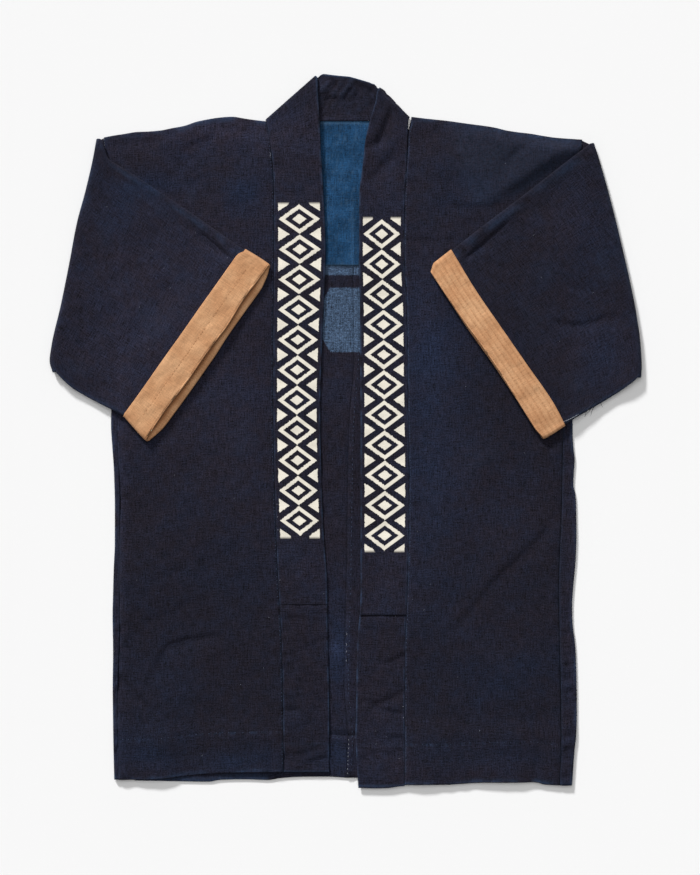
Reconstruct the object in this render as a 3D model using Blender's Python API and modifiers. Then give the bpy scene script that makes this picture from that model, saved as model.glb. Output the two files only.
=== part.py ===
"""A happi coat laid flat, front up, with both sleeves folded in over the fronts.

Each piece of cloth is one object: an open surface, skinned through sections, that Solidify gives its
wall. The coat rests on z = 0, +Y points to the collar and +X to the right as seen from above. All
sizes below are in millimetres, and every mesh is written in metres.
"""

import math
from collections import namedtuple

import bmesh
import bpy
from mathutils import Vector

MM = 0.001

# Walls, seams and the heights at which the layers lie.
CLOTH = 1.0  # wall of the indigo cotton
CUFF_CLOTH = 1.2  # wall of the tan cuffs
BAND = 2.5  # the neckband is several layers pressed together
SEAM_GAP = 0.3
BACK_Z = CLOTH / 2  # middle of the back wall, which lies on the ground
LINING_Z = 2.0
FRONT_Z = 3.6
HEM_DEPTH = 55.0  # the cloth turned up inside at the hems
HEM_RISE = 1.6  # how far the front steps up over the turned hems
RISE_FROM = -380.0  # y at which that step starts, going down
RISE_RUN = 30.0
HEM_ROUND = 1.35  # the turned cloth reaches this far past the middle of its wall
BACK_TURN_Z = 2.1
FRONT_TURN_DROP = 1.7  # from the middle of the front down to its own turned hem
TURN_STEPS = 6  # segments in each half-turn of cloth
HEM_STEPS = 4  # segments in the tight half-turns of the hems

# Tables of edges. x and y are places on the ground.
EdgeRow = namedtuple("EdgeRow", "y x")
LineRow = namedtuple("LineRow", "x y")
BandRow = namedtuple("BandRow", "y fold seam_z fold_z")
TurnRow = namedtuple("TurnRow", "seam_x seam_y seam_z fold_x fold_y fold_z")
SleeveRow = namedtuple("SleeveRow", "v x y")
Fold = namedtuple("Fold", "x0 y0 x1 y1 height width")
Side = namedtuple(
    "Side",
    "name sign neck_x shoulder neck front_edge back_edge outer_edge collar_seam hem back_hem"
    " armhole_top armhole_bottom sleeve_fold cuff_top cuff_bottom cuff_depth cuff_lip edge_roll sag",
)

CENTRE_SEAM = (
    EdgeRow(-466, 3),
    EdgeRow(-409, 5),
    EdgeRow(-339, 0),
    EdgeRow(-189, 3),
    EdgeRow(-2, 6),
    EdgeRow(104, 13),
    EdgeRow(260, 10),
    EdgeRow(418, 6),
)

LEFT = Side(
    name="left",
    sign=-1,
    neck_x=-106.5,
    shoulder=(
        LineRow(-326, 394),
        LineRow(-285, 400),
        LineRow(-231, 407),
        LineRow(-189, 418),
        LineRow(-156, 422),
        LineRow(-107, 416),
    ),
    neck=(LineRow(-107, 413), LineRow(-60, 418), LineRow(6, 418)),
    front_edge=(
        EdgeRow(-461, -304),
        EdgeRow(-360, -306),
        EdgeRow(-250, -303),
        EdgeRow(-90, -303),
        EdgeRow(0, -306),
        EdgeRow(89, -306),
        EdgeRow(240, -314),
        EdgeRow(394, -324),
    ),
    back_edge=(EdgeRow(-466, -283), EdgeRow(0, -283), EdgeRow(89, -305), EdgeRow(390, -323)),
    outer_edge=(
        EdgeRow(-464, -310),
        EdgeRow(-360, -312),
        EdgeRow(-250, -309),
        EdgeRow(-90, -309),
        EdgeRow(0, -312.5),
        EdgeRow(80, -311),
    ),
    collar_seam=(
        EdgeRow(-456, -83),
        EdgeRow(-369, -84),
        EdgeRow(-279, -86),
        EdgeRow(-199, -90.5),
        EdgeRow(-74, -95),
        EdgeRow(29, -97),
        EdgeRow(131, -97),
        EdgeRow(243, -96),
        EdgeRow(321, -96),
        EdgeRow(371, -99),
        EdgeRow(416, -106),
    ),
    hem=(
        LineRow(-306, -465),
        LineRow(-262, -464),
        LineRow(-201, -459),
        LineRow(-171, -457.5),
        LineRow(-84, -456),
    ),
    back_hem=(LineRow(-283, -466), LineRow(-189, -468), LineRow(-84, -461), LineRow(6, -464)),
    armhole_top=(-324.0, 390.0),
    armhole_bottom=(-306.0, 89.0),
    sleeve_fold=(
        SleeveRow(0.00, -334, 391),
        SleeveRow(0.09, -339, 364),
        SleeveRow(0.22, -349, 321),
        SleeveRow(0.35, -360, 280),
        SleeveRow(0.53, -371, 222),
        SleeveRow(0.70, -382, 168),
        SleeveRow(0.86, -394, 116),
        SleeveRow(0.93, -396, 96),
        SleeveRow(1.00, -392, 81),
    ),
    cuff_top=(-142.0, 241.0),
    cuff_bottom=(-295.0, 25.0),
    cuff_depth=43.0,
    cuff_lip=11.0,
    edge_roll=2.4,
    sag=8.0,
)

RIGHT = Side(
    name="right",
    sign=1,
    neck_x=88.5,
    shoulder=(
        LineRow(88, 422),
        LineRow(155, 414),
        LineRow(219, 403),
        LineRow(262, 396),
        LineRow(319, 390),
    ),
    neck=(LineRow(6, 418), LineRow(50, 417), LineRow(88, 404)),
    front_edge=(
        EdgeRow(-478, 287),
        EdgeRow(-400, 289),
        EdgeRow(-204, 286),
        EdgeRow(-92, 290),
        EdgeRow(98, 292),
        EdgeRow(240, 304),
        EdgeRow(389, 317),
    ),
    back_edge=(EdgeRow(-466, 287), EdgeRow(0, 287), EdgeRow(98, 291), EdgeRow(385, 316)),
    outer_edge=(
        EdgeRow(-474, 305),
        EdgeRow(-400, 309),
        EdgeRow(-311, 309),
        EdgeRow(-226, 302),
        EdgeRow(-145, 309),
        EdgeRow(-22, 305),
        EdgeRow(10, 302),
        EdgeRow(90, 300),
    ),
    collar_seam=(
        EdgeRow(-475, 79),
        EdgeRow(-297, 79.5),
        EdgeRow(-216, 82.5),
        EdgeRow(-92, 85),
        EdgeRow(83, 83),
        EdgeRow(163, 82),
        EdgeRow(240, 78.5),
        EdgeRow(310, 79),
        EdgeRow(371, 83),
        EdgeRow(402, 84.5),
        EdgeRow(412, 87.5),
        EdgeRow(422, 88),
    ),
    hem=(LineRow(78, -472), LineRow(167, -471), LineRow(240, -469), LineRow(290, -474)),
    back_hem=(LineRow(6, -464), LineRow(150, -466), LineRow(287, -468)),
    armhole_top=(317.5, 385.0),
    armhole_bottom=(292.0, 98.0),
    sleeve_fold=(
        SleeveRow(0.00, 333, 385.5),
        SleeveRow(0.10, 343, 353),
        SleeveRow(0.27, 358, 298),
        SleeveRow(0.40, 368, 257),
        SleeveRow(0.56, 380, 205),
        SleeveRow(0.70, 389, 160),
        SleeveRow(0.84, 395, 116),
        SleeveRow(0.94, 396, 86),
        SleeveRow(1.00, 390, 73),
    ),
    cuff_top=(145.0, 237.0),
    cuff_bottom=(287.4, 17.0),
    cuff_depth=37.0,
    cuff_lip=1.0,
    edge_roll=3.2,
    sag=5.0,
)

# The largest folds of the fronts: soft ridges, or troughs where the height is below nothing.
FRONT_FOLDS = (
    Fold(-200, 402, -118, 396, 3.6, 17),  # swell of the left shoulder beside the neck
    Fold(-222, 372, -262, 385, -0.9, 13),  # hollow outside that swell
    Fold(-311, -318, -258, -378, 1.8, 15),
    Fold(-246, -292, -152, -288, 1.6, 14),
    Fold(-250, -470, -244, -425, 3.6, 26),  # waves of the left hem
    Fold(-150, -470, -158, -425, 2.2, 28),
    Fold(280, -145, 151, -264, 2.4, 17),  # long drag line across the right front
    Fold(190, 400, 214, 352, -1.0, 14),  # vee of creases under the right shoulder
    Fold(250, 388, 214, 352, -1.0, 14),
    Fold(135, 362, 190, 358, 1.6, 20),
    Fold(115, -480, 118, -430, 1.6, 30),
    Fold(225, -480, 222, -430, 2.0, 30),
)

# The neckband, cut straight across below and turned at the neck.
BAND_LEFT = (
    BandRow(-456, -22, 4.7, 4.7),
    BandRow(-405, -22, 4.6, 4.5),
    BandRow(-369, -22, 3.6, 3.4),
    BandRow(-279, -24, 3.4, 3.2),
    BandRow(-199, -25, 3.4, 3.2),
    BandRow(-145, -29, 3.4, 3.2),
    BandRow(-74, -32, 3.4, 3.4),
    BandRow(29, -34, 3.6, 3.6),
    BandRow(131, -31, 3.6, 3.6),
    BandRow(243, -27, 4.2, 4.4),
    BandRow(321, -30, 4.3, 5.0),
    BandRow(371, -33, 4.6, 6.8),
)
BAND_RIGHT = (
    BandRow(-475, 17, 4.7, 4.7),
    BandRow(-405, 13, 4.6, 4.5),
    BandRow(-369, 14, 3.6, 3.4),
    BandRow(-297, 15, 3.4, 3.2),
    BandRow(-216, 20, 3.4, 3.2),
    BandRow(-92, 20, 3.4, 3.4),
    BandRow(16, 20, 3.6, 3.6),
    BandRow(83, 19.5, 3.6, 3.6),
    BandRow(163, 19, 3.8, 4.0),
    BandRow(230, 18, 4.2, 4.6),
    BandRow(310, 18, 4.3, 5.4),
    BandRow(351, 22, 4.4, 6.6),
)
PIECING_LEFT = -231.5  # y of the seams between the collar and its lower lengths
PIECING_RIGHT = -246.0
TURN_LEFT = (
    TurnRow(-101, 398, 4.9, -35, 419, 8.6),
    TurnRow(-102, 408, 5.1, -37, 452, 8.2),
    TurnRow(-102.5, 414.5, 5.2, -38, 474.5, 6.8),
)
TURN_RIGHT = (
    TurnRow(82, 375, 4.6, 27, 393, 9.0),
    TurnRow(83, 397, 4.9, 33, 419, 9.6),
    TurnRow(83.5, 411, 5.1, 40, 442, 8.4),
    TurnRow(83.5, 418.4, 5.2, 44, 457, 6.8),
)
BAND_BACK = (
    TurnRow(-102.5, 414.5, 1.3, -38, 474.5, 1.8),
    TurnRow(-84, 417.8, 1.3, -29, 477, 2.2),
    TurnRow(-50, 418.4, 1.3, -19, 477, 3.4),
    TurnRow(-24, 418.4, 1.3, -8, 476.5, 2.2),
    TurnRow(0, 418.4, 1.3, 4, 475.5, 3.2),
    TurnRow(24, 418.4, 1.3, 15, 473, 2.0),
    TurnRow(46, 418.4, 1.3, 26.5, 469.5, 3.0),
    TurnRow(68, 418.4, 1.3, 36.5, 464, 2.0),
    TurnRow(83.5, 418.4, 1.3, 44, 457, 1.8),
)

# How the sleeve tubes lie. v runs across a tube from its top edge, 0, to its bottom edge, 1.
SLEEVE_TURN = 4.0  # radius of the fold, at the middle of the flattened tube
TUBE_HALF = 1.2  # from the middle of the flattened tube to the middle of each wall
ROLL_WIDTH = 0.04  # share of the tube that its rolled top edge takes
TROUGH_V = 0.10  # the crease below that roll
TROUGH_WIDTH = 0.045
TROUGH_DEPTH = 0.3
BILLOW = 0.8  # how much farther apart the walls lie halfway across
ARMHOLE_GAP = 0.6
SLEEVE_REST = 5.1  # height of the under wall where it lies on the front
SETTLE_RUN = 48.0  # length in which the sleeve comes down from its fold
SLEEVE_SHORT = 3.6  # how far the sleeve ends before the edge of the opening
CUFF_REST = 6.6  # height of the under wall inside the cuff
CUFF_HALF = 2.7
CUFF_GAPE = 1.0  # how far the opening stands open halfway along
SWELL_FROM = 78.0  # the sleeve starts to swell into its cuff this far from its opening
SWELL_RUN = 34.0
CUFF_OFFSET = CLOTH / 2 + 0.4 + CUFF_CLOTH / 2  # from the middle of the sleeve's wall to the cuff's
CUFF_INSIDE = 30.0  # how deep the cuff runs back inside the sleeve
CUFF_OUTER_SHARES = (1.0, 0.75, 0.5, 0.25)  # places of the cuff's sections, as shares of its two depths
CUFF_INNER_SHARES = (0.4, 1.0)
SAG_POWER = 5  # how close to its lower edge the sleeve sags
SAG_LEAN = 0.7  # below 1 it sags most towards its fold
TANGENT_REACH = 0.02  # how far to either side a fold's line is read, in v
TUBE_MIDDLE = 0.5  # v above which a tube's edge is its top one
END_STEPS = 4  # segments round each edge of a flattened tube
ACROSS = (0.0, 0.03, 0.065, 0.11, 0.19, 0.32, 0.46, 0.60, 0.74, 0.88, 1.0)
ALONG = (0.05, 0.12, 0.21, 0.33, 0.46, 0.60, 0.70, 0.78, 0.86, 0.94, 1.0)

FRONT_COLUMNS = 10
NECK_COLUMNS = 4
FRONT_ROWS = 22
BACK_HEIGHTS = (260.0, 104.0, 0.0, -160.0, -320.0)  # heights of the back's sections at its centre seam
GUSSET_ROWS = (11, 3)  # below and above the back seam's corner
GUSSET_DROP = 6.0  # the gusset stops short of the sleeve by this
BAND_STEP = 32.0  # spacing of the neckband's sections
BAND_SHARES = (0.0, 0.15, 0.5, 0.85, 1.0)

LINING_LEFT = -62.0
LINING_RIGHT = 62.0
LINING_TOP = 417.0
LINING_BOTTOM = 223.0
LINING_COLUMNS = 4
LINING_ROWS = 6

UP = Vector((0, 1, 0))  # towards the collar
DOWN = Vector((0, -1, 0))

INDIGO = (0.0165, 0.0165, 0.0275, 1.0)
BAND_INDIGO = (0.0160, 0.0160, 0.0260, 1.0)
TAN = (0.60, 0.32, 0.15, 1.0)
BLUE = (0.022, 0.060, 0.125, 1.0)


def smooth(t):
    """0 to 1, with level ends."""
    t = min(max(t, 0.0), 1.0)
    return t * t * (3 - 2 * t)


def mix(a, b, t):
    return a + (b - a) * t


def look_up(rows, key, column, at):
    """A column's value where the key column passes a place, on a curve that never overshoots its rows."""
    rows = sorted(rows, key=lambda row: getattr(row, key))
    keys = [getattr(row, key) for row in rows]
    values = [getattr(row, column) for row in rows]
    if at <= keys[0]:
        return values[0]
    if at >= keys[-1]:
        return values[-1]
    slopes = [(values[i + 1] - values[i]) / (keys[i + 1] - keys[i]) for i in range(len(rows) - 1)]
    tangents = [slopes[0]]
    for before, after in zip(slopes, slopes[1:]):
        same_way = before * after > 0
        tangents.append(2 * before * after / (before + after) if same_way else 0.0)
    tangents.append(slopes[-1])
    i = max(k for k in range(len(rows) - 1) if keys[k] <= at)
    run = keys[i + 1] - keys[i]
    t = (at - keys[i]) / run
    start = (1 + 2 * t) * (1 - t) ** 2 * values[i] + t * (1 - t) ** 2 * run * tangents[i]
    end = t * t * (3 - 2 * t) * values[i + 1] + t * t * (t - 1) * run * tangents[i + 1]
    return start + end


def edge_at(rows, y):
    """x of an edge at a height."""
    return look_up(rows, "y", "x", y)


def seam_at(rows, y):
    """x of a straight-cut seam at a height, whose rows are its only corners."""
    for low, high in zip(rows, rows[1:]):
        if y <= high.y:
            return mix(low.x, high.x, max(y - low.y, 0) / (high.y - low.y))
    return rows[-1].x


def fold_height(fold, x, y):
    """Height of one soft ridge: a bell across its line, fading out past its ends."""
    start = Vector((fold.x0, fold.y0))
    line = Vector((fold.x1, fold.y1)) - start
    offset = Vector((x, y)) - start
    t = offset.dot(line) / line.length_squared
    across = (offset - line * t).length / fold.width
    beyond = max(-t, t - 1, 0) * line.length / fold.width
    return fold.height * math.exp(-across * across - beyond * beyond)


def front_z(x, y):
    """Middle of a front's wall: level, stepped up over the turned hems, with its folds."""
    step = HEM_RISE * smooth((RISE_FROM - y) / RISE_RUN)
    return FRONT_Z + step + sum(fold_height(fold, x, y) for fold in FRONT_FOLDS)


def half_turn(start, end, bulge, steps):
    """Points between two points one above the other, round a half circle that bulges sideways."""
    middle = (start + end) / 2
    radius = (end - start) / 2
    angles = [math.pi * k / steps for k in range(1, steps)]
    return [middle - radius * math.cos(a) + bulge * radius.length * math.sin(a) for a in angles]


def turn_rows(starts, ends, bulge, steps):
    """The sections of a fold that runs across the cloth."""
    turns = [half_turn(start, end, bulge, steps) for start, end in zip(starts, ends)]
    return [list(row) for row in zip(*turns)]


# ---------------------------------------------------------------- objects


def make_material(name, colour, roughness):
    material = bpy.data.materials.new(name)
    material.use_nodes = True
    shader = material.node_tree.nodes["Principled BSDF"]
    shader.inputs["Base Color"].default_value = colour
    shader.inputs["Roughness"].default_value = roughness
    shader.inputs["Metallic"].default_value = 0.0
    return material


def skin(name, sections, wall, material, closed=False):
    """Joins equal sections into one open surface with a wall. None marks a place that a section lacks."""
    mesh = bpy.data.meshes.new(name)
    form = bmesh.new()
    made = [[form.verts.new(p * MM) if p is not None else None for p in section] for section in sections]
    for near, far in zip(made, made[1:]):
        count = len(near)
        for i in range(count if closed else count - 1):
            corners = (near[i], near[(i + 1) % count], far[(i + 1) % count], far[i])
            if None not in corners:
                form.faces.new(corners)
    bmesh.ops.delete(form, geom=[v for v in form.verts if not v.link_faces], context="VERTS")
    form.to_mesh(mesh)
    form.free()
    mesh.shade_smooth()
    mesh.materials.append(material)
    piece = bpy.data.objects.new(name, mesh)
    coat.objects.link(piece)
    solid = piece.modifiers.new("wall", "SOLIDIFY")
    solid.thickness = wall * MM
    solid.offset = 0.0
    solid.use_even_offset = True
    return piece


# ---------------------------------------------------------------- body widths


def centre_at(side, y):
    """x of a back's own edge along the centre seam."""
    return edge_at(CENTRE_SEAM, y) + side.sign * SEAM_GAP / 2


def front_point(side, across, up):
    """A place on a front: across from the side seam to the collar seam, up from the hem to the shoulder."""
    hem_y = side.hem[0].y
    hem_x = mix(edge_at(side.front_edge, hem_y), edge_at(side.collar_seam, hem_y), across)
    top_x = mix(side.armhole_top[0], side.neck_x, across)
    top_y = look_up(side.shoulder, "x", "y", top_x) - CLOTH / 2
    top_y -= (front_z(top_x, top_y) - BACK_Z) / 2
    y = mix(look_up(side.hem, "x", "y", hem_x) + HEM_ROUND, top_y, up)
    seam = edge_at(side.collar_seam, y) + side.sign * SEAM_GAP
    x = mix(edge_at(side.front_edge, y), seam, across)
    return Vector((x, y, front_z(x, y)))


def back_point(side, column, row):
    """A place on a back between shoulder and hem. Both sides share the heights of the centre seam."""
    side_heights = [BACK_HEIGHTS[0], side.back_edge[2].y, *BACK_HEIGHTS[2:]]
    y = mix(side_heights[row], BACK_HEIGHTS[row], column / (FRONT_COLUMNS + NECK_COLUMNS))
    x = mix(seam_at(side.back_edge, y), side.neck_x, column / FRONT_COLUMNS)
    if column > FRONT_COLUMNS:
        past_neck = (column - FRONT_COLUMNS) / NECK_COLUMNS
        x = mix(side.neck_x, centre_at(side, y), past_neck)
    return Vector((x, y, BACK_Z))


def back_hem_at(side, x):
    """y of the back's lowest section, which its turned hem goes round."""
    return look_up(side.back_hem, "x", "y", x) + HEM_ROUND


def body_rows(side):
    """Sections along one width of cloth, from the front's turned hem over the shoulder to the back's."""
    across = [i / FRONT_COLUMNS for i in range(FRONT_COLUMNS + 1)]
    length = side.armhole_top[1] - side.hem[0].y
    ups = [0, HEM_DEPTH / 2 / length]
    ups += [mix(HEM_DEPTH / length, 1, k / FRONT_ROWS) for k in range(FRONT_ROWS + 1)]
    front = [[front_point(side, share, up) for share in across] for up in ups]
    drop = Vector((0, 0, FRONT_TURN_DROP))
    front_turn = [[point - drop for point in row] for row in (front[2], front[1], front[0])]

    shoulder = [Vector((point.x, point.y, BACK_Z)) for point in front[-1]]
    tops = list(shoulder)
    for column in range(1, NECK_COLUMNS + 1):
        x = mix(side.neck_x, centre_at(side, CENTRE_SEAM[-1].y), column / NECK_COLUMNS)
        tops.append(Vector((x, look_up(side.neck, "x", "y", x), BACK_Z)))
    columns = range(len(tops))
    back = [[back_point(side, column, row) for column in columns] for row in range(len(BACK_HEIGHTS))]
    back.append([Vector((point.x, back_hem_at(side, point.x), BACK_Z)) for point in back[-1]])
    back[-1][-1].x = centre_at(side, back[-1][-1].y)
    back_turn = [Vector((point.x, point.y, BACK_TURN_Z)) for point in back[-1]]
    back_inside = [point + UP * HEM_DEPTH for point in back_turn]

    narrow = front_turn + turn_rows(front_turn[-1], front[0], DOWN, HEM_STEPS) + front
    narrow += turn_rows(front[-1], shoulder, UP, TURN_STEPS)
    blank = [None] * NECK_COLUMNS
    wide = [tops, *back, *turn_rows(back[-1], back_turn, DOWN, HEM_STEPS), back_turn, back_inside]
    return [row + blank for row in narrow] + wide


def add_body(side):
    skin("body_" + side.name, body_rows(side), CLOTH, indigo)


# ---------------------------------------------------------------- side gussets


def add_gusset(side):
    """A strip from the front's side seam, folded at the garment's edge, to the back's side seam."""
    out = Vector((side.sign, 0, 0))
    corner_y = side.back_edge[1].y
    below, above = GUSSET_ROWS
    heights = [mix(side.outer_edge[0].y, corner_y, k / below) for k in range(below)]
    heights += [mix(corner_y, side.armhole_bottom[1] - GUSSET_DROP, k / above) for k in range(above + 1)]
    sections = []
    for y in heights:
        front_x = edge_at(side.front_edge, y)
        height = front_z(front_x, y)
        radius = (height - BACK_Z) / 2
        turn_x = edge_at(side.outer_edge, y) - side.sign * (radius + CLOTH / 2)
        seam = Vector((front_x, y, height)) + out * SEAM_GAP
        upper = Vector((turn_x, y, height))
        lower = Vector((turn_x, y, BACK_Z))
        back_seam = Vector((seam_at(side.back_edge, y), y, BACK_Z)) + out * SEAM_GAP
        sections.append([seam, upper, *half_turn(upper, lower, out, TURN_STEPS), lower, back_seam])
    skin("gusset_" + side.name, sections, CLOTH, indigo)


# ---------------------------------------------------------------- sleeves and cuffs


def on_ground(place):
    return Vector((place[0], place[1], 0))


def beside(line, side):
    """The level way square to a line that runs down the garment, towards its edge."""
    return Vector((-line.y, line.x, 0)) * side.sign


def tube_spots():
    """Places round the flattened tube: how far across it, and the way to its wall, outward and sideways."""
    spots = [(v, 1.0, 0.0) for v in ACROSS]
    angles = [math.pi * k / END_STEPS for k in range(1, END_STEPS)]
    spots += [(1.0, math.cos(angle), math.sin(angle)) for angle in angles]
    spots += [(v, -1.0, 0.0) for v in reversed(ACROSS)]
    spots += [(0.0, -math.cos(angle), math.sin(angle)) for angle in angles]
    return spots


def fold_at(side, v):
    """The folded edge of a sleeve, on the ground."""
    x = look_up(side.sleeve_fold, "v", "x", v)
    y = look_up(side.sleeve_fold, "v", "y", v)
    return Vector((x, y, 0))


def fold_line(side, v):
    """The way down along the folded edge."""
    return (fold_at(side, v + TANGENT_REACH) - fold_at(side, v - TANGENT_REACH)).normalized()


def bend_at(side, v):
    """The middle of the fold's bend, on the ground."""
    return fold_at(side, v) - beside(fold_line(side, v), side) * (SLEEVE_TURN + TUBE_HALF + CLOTH / 2)


def cuff_line(side):
    """The way down along the cuff."""
    return (on_ground(side.cuff_bottom) - on_ground(side.cuff_top)).normalized()


def opening_at(side, v):
    """The edge of the sleeve's opening, on the ground."""
    seam = on_ground(side.cuff_top).lerp(on_ground(side.cuff_bottom), v)
    return seam - beside(cuff_line(side), side) * side.cuff_depth


def sideways(side, v, share):
    """Past the tube's top or bottom edge: along its fold at first, along its cuff at its end."""
    down = fold_line(side, v).lerp(cuff_line(side), share).normalized()
    return -down if v < TUBE_MIDDLE else down


def lower_ring(side, share):
    """A section of the stretch that lies on the ground, between the armhole and the fold."""
    ring = []
    for v, outward, past_edge in tube_spots():
        start = on_ground(side.armhole_top).lerp(on_ground(side.armhole_bottom), v)
        if outward < 0:
            start.x = edge_at(side.front_edge, start.y)
        start.x += side.sign * ARMHOLE_GAP
        middle = start.lerp(bend_at(side, v), share) + Vector((0, 0, BACK_Z + TUBE_HALF))
        way = Vector((0, 0, -outward)) + sideways(side, v, 0) * past_edge
        ring.append(middle + way * TUBE_HALF)
    return ring


def fold_ring(side, angle):
    """A section of the bend, its angle measured from the ground side to the top side."""
    height = BACK_Z + TUBE_HALF + SLEEVE_TURN * (1 - math.cos(angle))
    ring = []
    for v, outward, past_edge in tube_spots():
        out = beside(fold_line(side, v), side)
        middle = bend_at(side, v) + out * SLEEVE_TURN * math.sin(angle) + Vector((0, 0, height))
        way = (out * math.sin(angle) - Vector((0, 0, math.cos(angle)))) * outward
        way += sideways(side, v, 0) * past_edge
        ring.append(middle + way * TUBE_HALF)
    return ring


def tube_half(side, v, run, length):
    """Half the height between the two walls where the sleeve lies on the front."""
    roll = (side.edge_roll - TUBE_HALF) * math.exp(-((v / ROLL_WIDTH) ** 2))
    trough = TROUGH_DEPTH * math.exp(-(((v - TROUGH_V) / TROUGH_WIDTH) ** 2))
    belly = math.sin(math.pi * v)
    half = mix(TUBE_HALF, TUBE_HALF + roll - trough + BILLOW * belly, smooth(run / SETTLE_RUN))
    return mix(half, CUFF_HALF + CUFF_GAPE * belly, smooth((run - length + SWELL_FROM) / SWELL_RUN))


def upper_ring(side, share, inset, offset=0.0):
    """A section of the stretch that lies on the front: a share of the way to a line inset from the
    opening, its wall moved out by an offset."""
    ring = []
    for v, outward, past_edge in tube_spots():
        bend = bend_at(side, v)
        end = opening_at(side, v)
        length = (end - bend).length
        run = share * (length - inset)
        half = tube_half(side, v, run, length)
        under = mix(BACK_Z + 2 * SLEEVE_TURN, SLEEVE_REST, smooth(run / SETTLE_RUN))
        under += (CUFF_REST - SLEEVE_REST) * smooth((run - length + SWELL_FROM) / SWELL_RUN)
        below = (1 - outward) / 2
        lip = side.cuff_lip * below * math.sqrt(math.sin(math.pi * v)) * smooth(run / length)
        ground = bend.lerp(end, (run + lip) / length)
        ground += cuff_line(side) * side.sag * v**SAG_POWER * math.sin(math.pi * (run / length) ** SAG_LEAN)
        way = Vector((0, 0, outward)) + sideways(side, v, run / length) * past_edge
        ring.append(ground + Vector((0, 0, under + half)) + way * (half + offset))
    return ring


def add_sleeve(side):
    rings = [lower_ring(side, 0.0)]
    rings += [fold_ring(side, math.pi * k / TURN_STEPS) for k in range(TURN_STEPS + 1)]
    rings += [upper_ring(side, share, SLEEVE_SHORT) for share in ALONG]
    skin("sleeve_" + side.name, rings, CLOTH, indigo, closed=True)


def add_cuff(side):
    """A band outside the sleeve's end, turned over its edge and back inside."""
    reach = CUFF_CLOTH / 2 + CUFF_OFFSET
    profile = [(side.cuff_depth * share, CUFF_OFFSET) for share in CUFF_OUTER_SHARES]
    for k in range(HEM_STEPS + 1):
        angle = math.pi * k / HEM_STEPS
        profile.append((reach - CUFF_OFFSET * math.sin(angle), CUFF_OFFSET * math.cos(angle)))
    profile += [(CUFF_INSIDE * share, -CUFF_OFFSET) for share in CUFF_INNER_SHARES]
    rings = [upper_ring(side, 1.0, inset, offset) for inset, offset in profile]
    skin("cuff_" + side.name, rings, CUFF_CLOTH, tan, closed=True)


# ---------------------------------------------------------------- neckband


def band_section(seam, fold):
    return [seam.lerp(fold, share) for share in BAND_SHARES]


def band_stretch(side, rows, low, high):
    """Level sections of the band from one height up to another."""
    steps = max(2, round((high - low) / BAND_STEP))
    sections = []
    for k in range(steps + 1):
        y = mix(low, high, k / steps)
        seam_x = edge_at(side.collar_seam, y) - side.sign * SEAM_GAP
        fold_x = look_up(rows, "y", "fold", y)
        seam = Vector((seam_x, y, look_up(rows, "y", "seam_z", y)))
        fold = Vector((fold_x, y, look_up(rows, "y", "fold_z", y)))
        sections.append(band_section(seam, fold))
    return sections


def turn_section(row):
    seam = Vector((row.seam_x, row.seam_y, row.seam_z))
    return band_section(seam, Vector((row.fold_x, row.fold_y, row.fold_z)))


def corner_sections(upper, lower, side):
    """The band folded over itself at the side of the neck, from its upper layer to its lower one."""
    line = Vector((upper.fold_x - upper.seam_x, upper.fold_y - upper.seam_y, 0)).normalized()
    out = Vector((line.y, -line.x, 0)) * side.sign
    return turn_rows(turn_section(upper), turn_section(lower), out, TURN_STEPS)


def add_neckband():
    low_left = band_stretch(LEFT, BAND_LEFT, LEFT.collar_seam[0].y, PIECING_LEFT - SEAM_GAP)
    skin("collar_left_lower", low_left, BAND, indigo_band)
    low_right = band_stretch(RIGHT, BAND_RIGHT, RIGHT.collar_seam[0].y, PIECING_RIGHT - SEAM_GAP)
    skin("collar_right_lower", low_right, BAND, indigo_band)

    sections = band_stretch(LEFT, BAND_LEFT, PIECING_LEFT, BAND_LEFT[-1].y)
    sections += [turn_section(row) for row in TURN_LEFT]
    sections += corner_sections(TURN_LEFT[-1], BAND_BACK[0], LEFT)
    sections += [turn_section(row) for row in BAND_BACK]
    sections += corner_sections(TURN_RIGHT[-1], BAND_BACK[-1], RIGHT)[::-1]
    sections += [turn_section(row) for row in reversed(TURN_RIGHT)]
    sections += band_stretch(RIGHT, BAND_RIGHT, PIECING_RIGHT, BAND_RIGHT[-1].y)[::-1]
    skin("collar", sections, BAND, indigo_band)


def add_lining():
    """The lining of the back's shoulders, where it shows in the neck and a little under the band."""
    xs = [mix(LINING_LEFT, LINING_RIGHT, i / LINING_COLUMNS) for i in range(LINING_COLUMNS + 1)]
    ys = [mix(LINING_BOTTOM, LINING_TOP, k / LINING_ROWS) for k in range(LINING_ROWS + 1)]
    sections = [[Vector((x, y, LINING_Z)) for x in xs] for y in ys]
    skin("shoulder_lining", sections, CLOTH, blue)


for old in list(bpy.data.objects):
    bpy.data.objects.remove(old, do_unlink=True)
coat = bpy.data.collections.new("happi_coat")
bpy.context.scene.collection.children.link(coat)
indigo = make_material("indigo_cotton", INDIGO, 0.9)
indigo_band = make_material("band_cotton", BAND_INDIGO, 0.88)
tan = make_material("tan_cotton", TAN, 0.88)
blue = make_material("blue_lining", BLUE, 0.9)

for side in (LEFT, RIGHT):
    add_body(side)
    add_gusset(side)
    add_sleeve(side)
    add_cuff(side)
add_neckband()
add_lining()
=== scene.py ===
"""A happi coat laid flat, front up: its cloth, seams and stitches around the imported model.

Garment frame: +X to the right as seen from above, +Y to the collar, +Z up, the floor at z = 0. Sizes
in the tables and functions are in millimetres and meshes are written in metres. Where a table has a
part for each side, -1 is the left one as seen from above and 1 the right one.
"""

import math
from collections import namedtuple

import bpy
import numpy as np
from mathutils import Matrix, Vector
from mathutils.bvhtree import BVHTree


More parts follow.
